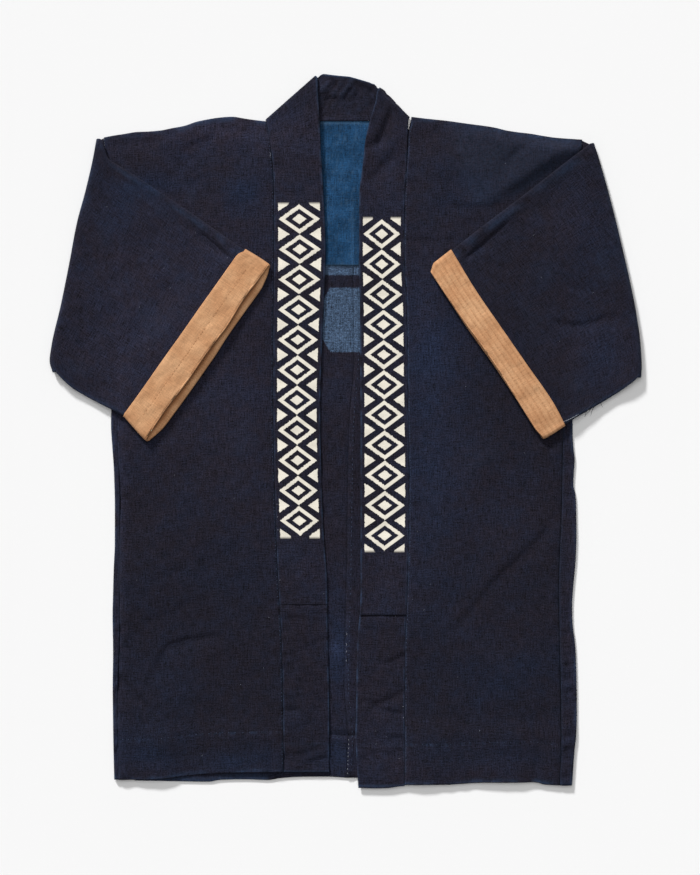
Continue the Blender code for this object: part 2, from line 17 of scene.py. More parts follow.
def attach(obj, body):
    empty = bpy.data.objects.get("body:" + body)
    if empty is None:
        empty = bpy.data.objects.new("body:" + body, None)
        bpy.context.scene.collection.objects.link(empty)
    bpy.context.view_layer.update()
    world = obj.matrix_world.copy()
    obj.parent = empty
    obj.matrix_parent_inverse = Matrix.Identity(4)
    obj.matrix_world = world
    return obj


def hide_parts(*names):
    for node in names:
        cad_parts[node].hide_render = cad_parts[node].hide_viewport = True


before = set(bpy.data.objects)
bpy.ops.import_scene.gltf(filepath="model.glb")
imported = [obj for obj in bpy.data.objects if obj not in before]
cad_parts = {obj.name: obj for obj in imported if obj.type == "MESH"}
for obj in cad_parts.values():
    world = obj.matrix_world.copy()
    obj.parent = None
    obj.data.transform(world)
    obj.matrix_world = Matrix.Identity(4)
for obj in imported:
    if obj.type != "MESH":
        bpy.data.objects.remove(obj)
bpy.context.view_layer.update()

MM = 0.001
FLOOR_NAME = "floor"

# ---------------------------------------------------------------- sizes shared with the solids

CLOTH = 1.0  # wall of the indigo cotton
CUFF_CLOTH = 1.2
BAND = 2.5  # thickness of the neckband
BAND_WIDTH = 64.0
SEAM_GAP = 0.06
BACK_Z = CLOTH / 2  # middle of the back wall, which lies on the floor
LINING_Z = 2.0
FRONT_Z = 3.6
HEM_DEPTH = 55.0  # the cloth turned up inside at the hems
HEM_RISE = 1.6  # how far the front steps up over the turned hems
RISE_FROM = -380.0
RISE_RUN = 30.0
HEM_ROUND = 1.35
BACK_TURN_Z = 2.1
FRONT_TURN_DROP = 1.7  # from the middle of the front down to its own turned hem

SLEEVE_TURN = 4.0  # radius of the fold, at the middle of the flattened tube
TUBE_HALF = 1.2  # from the middle of the flattened tube to the middle of each wall
ROLL_WIDTH = 0.035  # share of the tube that its rolled top edge takes
TROUGH_V = 0.075  # the crease below that roll
TROUGH_WIDTH = 0.02
TROUGH_DEPTH = 0.75
BILLOW = 0.8  # how much farther apart the walls lie halfway across
ARMHOLE_GAP = 0.6
SLEEVE_REST = 5.1  # height of the under wall where it lies on the front
SETTLE_RUN = 48.0  # length in which the sleeve comes down from its fold
SLEEVE_SHORT = 3.6  # how far the sleeve ends before the edge of the opening
CUFF_REST = 6.6
CUFF_HALF = 2.7
CUFF_GAPE = 1.3  # how far the opening stands open halfway along
SWELL_FROM = 100.0  # the sleeve starts to swell into its cuff this far from its opening
SWELL_RUN = 60.0
CUFF_OFFSET = CLOTH / 2 + 0.4 + CUFF_CLOTH / 2
CUFF_INSIDE = 30.0  # how deep the cuff runs back inside the sleeve
SAG_POWER = 5  # how close to its lower edge the sleeve sags
SAG_LEAN = 0.7  # below 1 it sags most towards its fold
TANGENT_REACH = 0.02

# Edges and seams are (y, x) rows, the shoulder, the neck and the hems (x, y) rows. The sleeve's fold, the
# cuff's two lips and the bow of its seam go by v, which is 0 at the sleeve's upper edge and 1 at its lower
# one. The heel is how far the sleeve's lower edge stands out, by the distance from the opening.
Side = namedtuple(
    "Side",
    "name sign neck_x shoulder neck front_edge back_edge outer_edge collar_seam hem back_hem armhole_top"
    " armhole_bottom sleeve_x sleeve_y cuff_top cuff_bottom cuff_depth upper_lip lower_lip seam_bow flare"
    " edge_roll sag edge_bow chamfer heel",
    defaults=(0.0, 0.0, ((0, 0), (120, 0))),
)

CENTRE_SEAM = ((-466, 3), (-409, 5), (-339, 0), (-189, 3), (-2, 6), (104, 13), (260, 10), (418, 6))

LEFT = Side(
    name="left",
    sign=-1,
    neck_x=-106.5,
    shoulder=(
        (-326, 394.2), (-313, 396.8), (-297, 399.3), (-281, 401.9), (-265, 402.6), (-249, 404),
        (-233, 407.2), (-217, 410), (-200.6, 415.4), (-184.5, 418.8), (-168.4, 421.3), (-152.4, 422.3),
        (-136, 419.8), (-120, 417.6), (-107, 416.2),
    ),
    neck=((-107, 413), (-60, 418), (6, 418)),
    front_edge=(
        (-461, -304), (-360, -306), (-250, -303), (-90, -303), (0, -306), (89, -306), (240, -314),
        (394, -324),
    ),
    back_edge=((-466, -283), (0, -283), (89, -305), (390, -323)),
    outer_edge=(
        (-466, -310.3), (-408, -311.6), (-343, -312.4), (-295, -311.9), (-247, -312.6), (-215, -311.9),
        (-183, -311), (-150, -309.6), (-102, -309.5), (-54, -310.7), (-22, -312.8), (10, -314.7), (80, -312),
    ),
    collar_seam=(
        (-456, -83), (-369, -84), (-279, -86), (-199, -90.5), (-74, -95), (29, -97), (131, -97),
        (243, -96), (321, -96), (371, -99), (416, -106),
    ),
    hem=((-306, -466.6), (-262, -466), (-201, -460), (-171, -457.8), (-84, -456)),
    back_hem=(
        (-297, -467.6), (-216, -468.9), (-184, -469.4), (-168, -466.9), (-136, -466.1), (-104, -467.1),
        (-88, -464.6), (-56, -462.7), (-24, -462.6), (8, -464.6),
    ),
    armhole_top=(-324.0, 391.8),
    armhole_bottom=(-306.0, 89.0),
    sleeve_x=(
        (0.0, -334), (0.09, -339), (0.22, -349), (0.35, -360), (0.53, -371), (0.70, -382), (0.86, -394),
        (0.94, -396.6), (1.0, -393),
    ),
    sleeve_y=(
        (0.0, 391), (0.09, 364), (0.22, 321), (0.35, 280), (0.53, 222), (0.70, 168), (0.86, 116),
        (0.94, 95), (1.0, 80.5),
    ),
    cuff_top=(-142.0, 241.0),
    cuff_bottom=(-295.0, 25.0),
    cuff_depth=43.0,
    upper_lip=(
        (0, 43), (0.113, 42.6), (0.161, 41.8), (0.227, 42.4), (0.288, 44.0), (0.364, 45.0), (0.42, 44.2),
        (0.53, 43.4), (0.68, 44.2), (0.845, 42.2), (1, 43.6),
    ),
    lower_lip=(
        (0, 45.5), (0.04, 49.5), (0.12, 52.8), (0.26, 52.4), (0.39, 52.5), (0.5, 54.0), (0.71, 54.4),
        (0.91, 53.6), (1, 48),
    ),
    seam_bow=((0, 4.8), (0.01, 2.8), (0.025, 0.8), (0.05, 0.1), (0.5, 0.6), (1, 0)),
    flare=(4.5, 4.0),
    edge_roll=2.4,
    sag=8.0,
    edge_bow=18.0,
    heel=((0, 6.2), (44, -6.9), (120, 0)),
)

RIGHT = Side(
    name="right",
    sign=1,
    neck_x=88.5,
    shoulder=(
        (88, 422.3), (105, 420.2), (121, 418.5), (137, 416.8), (153, 414.6), (169, 412.4), (185, 410.4),
        (201, 408), (217.5, 404), (234, 401.4), (250, 399.6), (266, 396.7), (282, 394.3), (298, 393),
        (319, 391.6),
    ),
    neck=((6, 418), (50, 417), (88, 404)),
    front_edge=((-478, 287), (-400, 289), (-204, 286), (-92, 290), (98, 292), (240, 304), (389, 317)),
    back_edge=((-466, 287), (0, 287), (98, 291), (385, 316)),
    outer_edge=(
        (-474, 303.4), (-456, 304.7), (-440, 305.7), (-424, 307), (-408, 309), (-375, 309.9),
        (-327, 309.3), (-295, 308.2), (-279, 307), (-263, 304.7), (-247, 303.7), (-231, 303.6),
        (-215, 304.5), (-199, 305.9), (-183, 307.4), (-167, 308.6), (-134, 309.4), (-102, 308.9),
        (-86, 308.2), (-70, 305.2), (-54, 305.9), (-38, 307), (-22, 305.3), (-6, 304.3), (10, 304.2),
        (90, 302),
    ),
    collar_seam=(
        (-475, 79), (-297, 79.5), (-216, 82.5), (-92, 85), (83, 83), (163, 82), (240, 78.5), (310, 79),
        (371, 83), (402, 84.5), (412, 87.5), (422, 88),
    ),
    hem=(
        (78, -473.4), (138, -473), (153, -472), (170, -470.9), (186, -470.3), (234, -470.1), (250, -469.7),
        (258, -470.5), (266, -472.8), (290, -474.2),
    ),
    back_hem=((6, -464), (150, -466), (287, -468)),
    armhole_top=(317.5, 388.4),
    armhole_bottom=(292.0, 98.0),
    sleeve_x=(
        (0.0, 333), (0.10, 343), (0.27, 358), (0.40, 368), (0.56, 380), (0.70, 389), (0.84, 395),
        (0.94, 396.5), (1.0, 396.0),
    ),
    sleeve_y=(
        (0.0, 385.5), (0.10, 353), (0.27, 298), (0.40, 257), (0.56, 205), (0.70, 160), (0.84, 116),
        (0.94, 87), (1.0, 73.9),
    ),
    cuff_top=(145.0, 237.0),
    cuff_bottom=(287.4, 17.0),
    cuff_depth=37.0,
    upper_lip=(
        (0, 39.5), (0.177, 39.3), (0.327, 38.1), (0.46, 36.1), (0.626, 34.9), (0.76, 35.4),
        (0.947, 36.1), (1, 34),
    ),
    lower_lip=((0, 38.5), (0.3, 38.8), (0.6, 35.8), (1, 34.5)),
    seam_bow=((0, 0), (0.22, 2.1), (0.47, 0.2), (0.67, -1.7), (0.87, -3.8), (1, -1.5)),
    flare=(0.0, 5.5),
    edge_roll=3.2,
    sag=5.0,
    chamfer=6.0,
)

# Columns: x0 y0 x1 y1 height width. The broad folds that the solids have too.
FRONT_FOLDS = (
    (-204, 400, -142, 398, 2.4, 15), (-222, 372, -262, 385, -0.9, 13), (-311, -318, -258, -378, 0.8, 15),
    (-244, -286, -156, -282, 0.3, 14), (-250, -470, -244, -425, 3.6, 26),
    (-150, -470, -158, -425, 0.6, 28), (280, -145, 151, -264, 0.7, 17), (190, 400, 214, 352, -1.0, 14),
    (250, 388, 214, 352, -1.0, 14), (135, 362, 190, 358, 1.6, 20), (115, -480, 118, -430, 1.6, 30),
    (225, -480, 222, -430, 2.0, 30),
)

# Columns: y fold_x seam_z fold_z.
BAND_ROWS = {
    -1: (
        (-456, -22, 4.7, 4.7), (-405, -22, 4.6, 4.5), (-369, -22, 3.6, 3.4), (-279, -24, 3.4, 3.2),
        (-199, -25, 3.4, 3.2), (-145, -29, 3.4, 3.2), (-74, -32, 3.4, 3.4), (29, -34, 3.6, 3.6),
        (131, -31, 3.6, 4.2), (243, -27, 4.0, 5.8), (321, -30, 4.1, 7.4), (371, -33, 4.4, 8.6),
    ),
    1: (
        (-475, 17, 4.7, 4.7), (-405, 13, 4.6, 4.5), (-369, 14, 3.6, 3.4), (-297, 15, 3.4, 3.2),
        (-216, 20, 3.4, 3.2), (-92, 20, 3.4, 3.4), (16, 20, 3.6, 3.6), (83, 19.5, 3.6, 3.6),
        (163, 19, 3.8, 4.0), (230, 18, 4.2, 4.6), (310, 18, 4.3, 5.4), (351, 22, 4.4, 6.6),
    ),
}
PIECING = {-1: -231.5, 1: -246.0}  # heights of the seams between the neckband and its lower lengths
PIECING_GAP = {-1: -0.35, 1: 0.2}  # half the gap there, where below nothing they overlap
# Columns: seam_x seam_y seam_z fold_x fold_y fold_z.
TURN_LEFT = (
    (-103, 398, 4.7, -35, 419, 9.0), (-104.6, 408, 4.9, -37, 452, 8.6), (-106, 415.6, 5, -38, 474.7, 6.8),
)
TURN_RIGHT = (
    (82, 375, 4.6, 27, 393, 9.0), (83, 397, 4.9, 33, 419, 9.6), (83.5, 411, 5.1, 40, 442, 8.4),
    (84, 419, 5.2, 44.5, 459, 6.8),
)
BAND_BACK = (
    (-106, 415.6, 1.3, -38, 474.7, 1.8), (-84, 418, 1.3, -30, 479.6, 2.2),
    (-50, 418.4, 1.3, -19, 478.2, 3.4), (-24, 418.4, 1.3, -8, 477.2, 2.2), (0, 418.4, 1.3, 4, 476, 3.2),
    (24, 418.4, 1.3, 15, 473.4, 2.0), (46, 418.4, 1.3, 26.5, 469.8, 3.0), (68, 418.4, 1.3, 36.6, 467, 2.0),
    (84, 419, 1.3, 44.8, 460.9, 1.8),
)
LINING = (-62.0, 62.0, 223.0, 417.0)  # left, right, bottom, top

# ---------------------------------------------------------------- creases

# x0 y0 to x1 y1 is a crease's chord and bend how far its middle lies to the right of it. A height above
# nothing is a ridge that falls steeply on its right, one below nothing a trough that rises slowly there.
# The slow side takes as many widths as slow says.
Crease = namedtuple("Crease", "x0 y0 x1 y1 bend height width slow", defaults=(2.4,))
STEEP = 0.75  # share of its width that a crease takes on its steep side


def creases(*rows):
    return [Crease(*row) for row in rows]


FRONT_CREASES = {
    -1: creases(
        (-265, -337, -233, -283, -2, -1.1, 4.5), (-242, -289, -166, -274, -3, -2.1, 5),
        (-308, -318, -253, -377, 4, -2.4, 4), (-266, -255, -195, -222, 1, -0.7, 5),
        (-262, -200, -219, -184, 0, -0.6, 4), (-292, -299, -281, -246, 0, -0.5, 5),
        (-223, 376, -176, 399, 1, -0.8, 3, 3), (-249, 379, -214, 352, 0, -1.1, 4),
        (-209, 327, -197, 343, 0, -0.8, 3), (-305, 388, -249, 390, 0, -0.7, 3),
        (-301, 371, -265, 332, 1, -1.2, 4), (-268, 335, -227, 312, 0, -1.1, 4),
        (-179, 407, -130, 403, 1, -0.9, 4), (-206, 302, -201, 328, 0, 0.6, 4),
        (-249, -98, -225, -92, 0, -0.4, 6), (-175, -172, -142, -148, 1, -0.4, 7),
        (-155, -333, -112, -317, 0, -0.5, 6), (-289, -424, -242, -429, 0, -0.5, 5),
        (-262, -440, -209, -432, 0, -0.5, 5), (-148, -31, -112, -11, 0, 0.4, 8),
    ),
    1: creases(
        (191, 395, 212, 359, 0, -1, 4), (209, 357, 246, 391, 0, -1.3, 4),
        (188, 313, 318, 396, -1, 5.6, 16, 4.4), (126, 306, 211, 306, 4, -0.9, 3.5),
        (83, 261, 155, 260, 4, -0.8, 3.5), (146, 368, 195, 371, 0, -0.5, 4),
        (155, 274, 179, 284, 0, -0.6, 4), (140, -271, 203, -199, 0, -1.3, 5),
        (191, -207, 271, -132, 1, -1.9, 5), (260, -141, 287, -102, 0, -0.8, 4),
        (201, -215, 267, -152, 0, -0.8, 8), (252, -461, 262, -410, 0, -1, 4),
        (177, -427, 248, -436, 0, -0.7, 8), (104, -382, 168, -382, 0, -0.4, 4),
        (204, -384, 270, -389, 0, -0.5, 5), (126, -299, 156, -280, 0, -0.4, 6),
        (100, 123, 126, 134, 0, -0.4, 6), (167, -51, 207, -27, 0, 0.4, 8),
    ),
}
SLEEVE_CREASES = {
    -1: creases(
        (-363, 176, -316, 116, 4, -0.6, 10), (-340, 71, -305, 55, 3, -0.6, 5),
        (-276, 176, -262, 136, 3, 0.4, 9), (-242, 230, -222, 190, -3, 0.4, 9),
        (-324, 243, -316, 290, 3, 0.4, 9), (-380, 89, -345, 69, -1, 0.5, 6),
        (-305, 333, -233, 285, 0, 0.5, 5, 1.3), (-211, 281, -185, 257, 0, -0.9, 4),
        (-191, 262, -144, 222, 0, -3.2, 5, 1.6), (-262, 116, -206, 176, 0, 0.35, 8),
        (-282, 300, -249, 316, 0, -0.4, 6),
    ),
    1: creases(
        (279, 148, 342, 152, 7, -1.9, 4), (337, 151, 382, 150, -3, -1.6, 3.5),
        (299, 197, 329, 189, 0, -0.7, 3), (152, 225, 187, 253, 0, -1.7, 3.5, 1.2),
        (184, 252, 219, 282, 0, -1.2, 3.2, 1.2), (217, 285, 275, 312, 0, -0.25, 4, 1.5),
        (271, 309, 313, 364, 0, -0.25, 4, 1.5), (246, 120, 276, 135, 0, -0.5, 6),
        (341, 243, 349, 197, 3, 0.5, 9), (260, 190, 276, 227, 3, 0.4, 8), (234, 176, 255, 136, 3, 0.4, 8),
        (287, 69, 321, 53, 3, 0.5, 7),
    ),
}
CUFF_CREASES = {
    -1: creases(
        (-128, 201, -121, 180, 0, -1, 3), (-243, 16, -222, 24, 1, -1, 3), (-205, 108, -180, 120, 1, 0.4, 6),
        (-178, 152, -150, 168, 1, -0.5, 5), (-262, 30, -236, 40, 1, 0.5, 6),
        (-232, 62, -210, 74, 0, -0.4, 5),
    ),
    1: creases(
        (123, 232, 139, 246, 1, -0.6, 3), (260, 0, 297, 17, 0, -0.7, 3), (231, 41, 259, 55, 0, -0.5, 3),
        (182, 148, 205, 160, 1, 0.5, 5), (238, 52, 258, 64, 1, 0.5, 5), (152, 190, 172, 204, 1, -0.5, 5),
        (213, 80, 240, 93, 0, -0.6, 3),
    ),
}
BACK_CREASES = creases(
    (-1, 109, 8, -2, -1, -0.5, 5), (-25, -211, 2, -209, 0, -1.3, 4.5), (0, -227, 15, -224, 0, -1.3, 3),
    (0, -322, 12, -322, 0, -0.7, 3), (2, -374, 14, -373, 0, -0.7, 3),
    (-18, -401.5, 12, -402.5, 0, 0.6, 2.2, 1.5), (-21, -360, -1, -346, 0, 0.4, 4),
    (-24, 2, -5, 10, 0, -0.4, 4), (-21, -118, 8, -113, 0, -0.4, 4),
)
BAND_CREASES = creases(
    (41, 382, 63, 434, 0, -2.8, 5), (22, 379, 45, 390, 0, -1.5, 4), (31, 336, 66, 379, 2, -1.8, 6),
    (57, 398, 77, 406, 0, -0.5, 3), (-97, 360, -73, 352, 0, -0.6, 4), (-87, 321, -57, 319, 0, -0.6, 3.5),
    (-63, 394, -41, 403, 0, -0.5, 5), (-85, -51, -45, -46, 0, -0.3, 5), (33, -129, 75, -121, 0, -0.3, 5),
    (-80, 230, -37, 235, 0, -0.3, 5),
)
LOWER_BAND_CREASES = creases(
    (-89, -251, -32, -254, -2, -0.9, 3.5), (-61, -290, -30, -279, 0, -0.7, 3),
    (-89, -299, -61, -295, 0, -0.6, 3), (-83, -317, -67, -310, 0, -0.6, 3),
    (-83, -351, -61, -349, 0, 0.5, 3), (-85, -339, -68, -322, 0, -0.9, 3.5),
    (-92, -370, -63, -372, 0, -1.7, 3.2), (-87, -435, -38, -424, 2, -1.3, 4),
    (-52, -444, -25, -435, 0, -2.3, 3.5), (-89, -266, -71, -268, 0, -0.5, 3),
    (18, -264, 79, -263, 0, -0.6, 3.5), (53, -311, 79, -297, 1, -1.4, 3), (19, -307, 37, -306, 0, -0.5, 3),
    (33, -365, 79, -345, 3, -1.8, 3.2), (18, -364, 53, -364, 0, -0.7, 3),
    (34, -369, 78, -377, 1, -1.7, 3.2), (25, -345, 38, -334, 0, -1, 3), (19, -440, 42, -428, 0, -1.2, 4),
    (53, -410, 79, -409, 0, -1.3, 2.5), (49, -432, 77, -427, 0, -0.8, 3),
)
NECK_CREASES = creases(
    (-29, 447, 0, 448, 0, -1.2, 3), (-2, 447, 15, 443, 0, -0.6, 3), (11, 435, 15, 465, 0, -1, 2.5),
    (21, 465, 35, 453, 0, -1.5, 4), (-34, 455, -21, 470, 0, 1.1, 3.2, 1),
    (-26, 451, -13, 467, 0, -0.4, 2.6, 1), (-18, 450, -6, 467, 0, 1.15, 2.8, 1),
    (-12, 450, 0, 466, 0, -0.4, 2.6, 1), (-5, 451, 6, 467, 0, 1.1, 2.8, 1),
    (0, 450, 11, 465, 0, -0.45, 2.6, 1), (6, 448, 16, 462, 0, 1, 2.8, 1), (-2, 428, 19, 432, 0, 0.7, 3, 1),
    (-22, 427, 10, 434, 0, -0.5, 3), (21, 428, 34, 440, 0, -0.6, 3),
)
LINING_CREASES = creases(
    (9, 318, 11, 226, 0, 0.6, 2.5), (-16, 350, -12, 270, 1, 0.25, 5), (12, 405, 6, 360, 0, 0.25, 4),
    (-24, 262, 8, 256, 1, 0.2, 5),
)

# Columns: size height seed_step. Soft unevenness of the cloth, from broad to fine.
FRONT_SWELLS = ((150, 0.5, 0), (60, 0.26, 1), (24, 0.11, 2), (11, 0.04, 5))
SLEEVE_SWELLS = ((120, 0.45, 0), (52, 0.24, 1), (22, 0.1, 2), (10, 0.04, 3))
CUFF_SWELLS = ((34, 0.2, 0), (12, 0.1, 1))
BAND_SWELLS = ((42, 0.22, 0), (18, 0.1, 1))
NECK_SWELLS = ((16, 0.45, 0), (8, 0.26, 1))
FRONT_SEED = {-1: 11, 1: 23}
SLEEVE_SEED = {-1: 41, 1: 53}
CUFF_SEED = {-1: 71, 1: 83}
CREASE_GAIN = 1.3  # how much deeper the creases of cloth lie than their tables say

# ---------------------------------------------------------------- numbers and curves

UP = np.array((0.0, 0.0, 1.0))
LEVEL = 1 - UP


def smooth(t):
    """0 before 0, 1 after 1 and a soft step between."""
    t = np.clip(t, 0.0, 1.0)
    return t * t * (3 - 2 * t)


def mix(a, b, t):
    return a + (b - a) * t


def bell(distance, width):
    return np.exp(-((distance / width) ** 2))


def curve(rows, at):
    """Value at a place between (place, value) rows, on a curve that never overshoots them."""
    keys, values = np.array(sorted(rows), float).T
    slopes = np.diff(values) / np.diff(keys)
    before, after = slopes[:-1], slopes[1:]
    same_way = before * after > 0
    inner = np.where(same_way, 2 * before * after / np.where(same_way, before + after, 1), 0)
    tangents = np.concatenate((slopes[:1], inner, slopes[-1:]))
    at = np.clip(at, keys[0], keys[-1])
    i = np.clip(np.searchsorted(keys, at, side="right") - 1, 0, len(keys) - 2)
    run = keys[i + 1] - keys[i]
    t = (at - keys[i]) / run
    start = (1 + 2 * t) * (1 - t) ** 2 * values[i] + t * (1 - t) ** 2 * run * tangents[i]
    return start + t * t * (3 - 2 * t) * values[i + 1] + t * t * (t - 1) * run * tangents[i + 1]


def straight(rows, at):
    """Value at a place between (place, value) rows, on straight lines."""
    keys, values = np.array(sorted(rows), float).T
    return np.interp(at, keys, values)


def points(x, y, z):
    return np.stack(np.broadcast_arrays(x, y, z), -1).astype(float)


def unit(vectors):
    return vectors / np.maximum(np.linalg.norm(vectors, axis=-1, keepdims=True), 1e-9)


def waves(x, y, size, seed, count=18):
    """A smooth random field whose hills are about a size across. Its spread is 1."""
    draw = np.random.default_rng(seed)
    total = np.zeros(np.broadcast(x, y).shape)
    for _ in range(count):
        angle = draw.uniform(0, math.pi)
        rate = 2 * math.pi / size * draw.uniform(0.55, 1.5)
        total += np.cos(rate * (x * math.cos(angle) + y * math.sin(angle)) + draw.uniform(0, 2 * math.pi))
    return total / math.sqrt(count / 2)


def ripples(along, size, seed):
    """The same field along a line."""
    return waves(along, 0 * along, size, seed)


def swells(rows, x, y, seed):
    return sum(height * waves(x, y, size, seed + step) for size, height, step in rows)


def patchy(x, y, size, seed, middle=0.6, most=1.3):
    """How much the cloth is worn at each place, from nothing to a most."""
    return np.clip(middle + 0.5 * waves(x, y, size, seed), 0, most)


def from_line(x, y, x0, y0, x1, y1):
    """The share of a line that a place has passed, how far to its right it is, and the line's length."""
    dx, dy = x1 - x0, y1 - y0
    length = math.hypot(dx, dy)
    t = ((x - x0) * dx + (y - y0) * dy) / length**2
    return t, ((x - x0) * dy - (y - y0) * dx) / length, length


def creased(rows, x, y):
    """Height that the creases add at each place."""
    total = np.zeros(np.broadcast(x, y).shape)
    for row in rows:
        t, across, length = from_line(x, y, row.x0, row.y0, row.x1, row.y1)
        inside = np.clip(t, 0, 1)
        middle = 4 * inside * (1 - inside)
        across = across - row.bend * middle
        fade = (0.3 + 0.7 * np.sqrt(middle)) * bell((t - inside) * length, row.width)
        slow = np.where(across * row.height < 0, row.slow, STEEP)
        total += row.height * fade * bell(across, row.width * slow)
    return total


def front_height(x, y):
    """Middle of a front's wall: level, stepped up over the turned hems, with its broad folds."""
    total = FRONT_Z + HEM_RISE * smooth((RISE_FROM - y) / RISE_RUN)
    for *ends, height, width in FRONT_FOLDS:
        t, across, length = from_line(x, y, *ends)
        beyond = np.maximum(np.maximum(-t, t - 1), 0) * length
        total = total + height * bell(across, width) * bell(beyond, width)
    return total


def half_turn(start, end, bulge, steps):
    """Rows between two rows of points one above the other, round a half circle."""
    middle, radius = (start + end) / 2, (end - start) / 2
    size = np.linalg.norm(radius, axis=-1, keepdims=True)
    angles = np.pi * np.arange(1, steps) / steps
    bulge = np.array(bulge)
    return np.array([middle - radius * math.cos(a) + bulge * size * math.sin(a) for a in angles])


def run_along(grid):
    """Distance along each column of a grid from its first row."""
    steps = np.linalg.norm(np.diff(grid, axis=0), axis=-1)
    return np.concatenate((np.zeros((1, grid.shape[1])), np.nancumsum(steps, axis=0)))


# ---------------------------------------------------------------- materials


class Value:
    """A number or colour that a material works out place by place, used with the ordinary signs."""

    def __init__(self, shader, socket):
        self.shader = shader
        self.socket = socket

    def __add__(self, other):
        return self.shader.math("ADD", self, other)

    def __sub__(self, other):
        return self.shader.math("SUBTRACT", self, other)

    def __rsub__(self, other):
        return self.shader.math("SUBTRACT", other, self)

    def __mul__(self, other):
        return self.shader.math("MULTIPLY", self, other)

    def __truediv__(self, other):
        return self.shader.math("DIVIDE", self, other)

    def __abs__(self):
        return self.shader.math("ABSOLUTE", self)

    __radd__ = __add__
    __rmul__ = __mul__

    def clamped(self):
        return self.shader.math("ADD", self, 0.0, clamp=True)

    def ramp(self, low, high, to_low=0.0, to_high=1.0):
        """A soft step from one number at a low value to another at a high one."""
        made = self.shader.node("ShaderNodeMapRange", interpolation_type="SMOOTHSTEP")
        self.shader.feed(made.inputs[0], self)
        for socket, number in zip(made.inputs[1:5], (low, high, to_low, to_high)):
            socket.default_value = number
        return Value(self.shader, made.outputs[0])


class Shader:
    """One node material. Where a value comes from nodes it is linked, otherwise it is set."""

    def __init__(self, name, roughness, specular, sheen):
        self.material = bpy.data.materials.new(name)
        self.material.use_nodes = True
        self.tree = self.material.node_tree
        self.surface = self.tree.nodes["Principled BSDF"]
        self.surface.inputs["Roughness"].default_value = roughness
        self.surface.inputs["Specular IOR Level"].default_value = specular
        self.surface.inputs["Sheen Weight"].default_value = sheen
        self.surface.inputs["Sheen Roughness"].default_value = 0.6

    def node(self, kind, **settings):
        made = self.tree.nodes.new(kind)
        for key, value in settings.items():
            setattr(made, key, value)
        return made

    def feed(self, socket, value):
        if isinstance(value, Value):
            self.tree.links.new(value.socket, socket)
        else:
            socket.default_value = value

    def math(self, operation, *values, clamp=False):
        made = self.node("ShaderNodeMath", operation=operation, use_clamp=clamp)
        for socket, value in zip(made.inputs, values):
            self.feed(socket, value)
        return Value(self, made.outputs[0])

    def blend(self, share, low, high, kind="MIX"):
        made = self.node("ShaderNodeMix", data_type="RGBA", blend_type=kind)
        for number, value in ((0, share), (6, low), (7, high)):
            self.feed(made.inputs[number], value)
        return Value(self, made.outputs[2])

    def scaled(self, colour, tone):
        """A colour made lighter or darker all over."""
        grey = self.node("ShaderNodeCombineColor")
        for socket in grey.inputs[:3]:
            self.feed(socket, tone)
        return self.blend(1.0, colour, Value(self, grey.outputs[0]), "MULTIPLY")

    def attribute(self, name, output="Fac"):
        return Value(self, self.node("ShaderNodeAttribute", attribute_name=name).outputs[output])

    def place(self):
        return Value(self, self.node("ShaderNodeTexCoord").outputs["Object"])

    def split(self, vector):
        made = self.node("ShaderNodeSeparateXYZ")
        self.feed(made.inputs[0], vector)
        return [Value(self, socket) for socket in made.outputs]

    def noise(self, vector, scale, detail=2.0, stretch=None, roughness=0.5):
        if stretch:
            longer = self.node("ShaderNodeVectorMath", operation="MULTIPLY")
            self.feed(longer.inputs[0], vector)
            longer.inputs[1].default_value = stretch
            vector = Value(self, longer.outputs[0])
        made = self.node("ShaderNodeTexNoise")
        self.feed(made.inputs["Vector"], vector)
        made.inputs["Scale"].default_value = scale
        made.inputs["Detail"].default_value = detail
        made.inputs["Roughness"].default_value = roughness
        return Value(self, made.outputs[0])

    def finish(self, colour, height=None, depth=0.0):
        """The material in a colour. A height of 0 to 1 stands for bumps of a depth in millimetres."""
        self.feed(self.surface.inputs["Base Color"], colour)
        if height:
            bump = self.node("ShaderNodeBump")
            bump.inputs["Strength"].default_value = 1.0
            bump.inputs["Distance"].default_value = depth * MM
            self.feed(bump.inputs["Height"], height)
            self.tree.links.new(bump.outputs[0], self.surface.inputs["Normal"])
        return self.material


def linear(*srgb):
    """A colour given as 0 to 255 display values."""
    values = [c / 255 for c in srgb]
    return tuple(c / 12.92 if c <= 0.04045 else ((c + 0.055) / 1.055) ** 2.4 for c in values) + (1.0,)


THREAD = 0.8  # spacing of the cloth's threads
DEEP = linear(27, 24, 33)
NAVY = linear(23, 29, 46)
FADED = linear(58, 80, 112)
CHALK = linear(226, 220, 206)
GHOST = linear(68, 88, 113)
GHOST_CENTRE = (4.0, 150.0)  # middle of the faded marks on the back
PRINT_STEP = 40.4  # height of one diamond of the print
PRINT_HALF = 27.0  # half its width
PRINT_COUNT = 11
PRINT_TOP = {-1: 305.0, 1: 285.0}  # height that the print starts at


def weave(shader, grain, warp_contrast, weft_contrast, mottle):
    """Height of the threads, and how much lighter or darker each place is for its uneven yarn."""
    x, y, _ = shader.split(grain)
    wander = shader.noise(grain, 0.09, 2.0) * 2.4
    warp = shader.math("SINE", (x + wander) * (math.pi / THREAD))
    weft = shader.math("SINE", (y + wander) * (math.pi / THREAD))
    slub = shader.noise(grain, 1.0, 2.0, (0.85, 0.06, 1.0))
    pick = shader.noise(grain, 1.0, 2.0, (0.07, 0.75, 1.0))
    speckle = shader.noise(grain, 0.55, 3.0)
    tone = 1.0 + (slub - 0.5) * warp_contrast + (pick - 0.5) * weft_contrast + (speckle - 0.5) * mottle
    return 0.3 + warp * weft * 0.12 + slub * 0.3 + pick * 0.25 + speckle * 0.3, tone


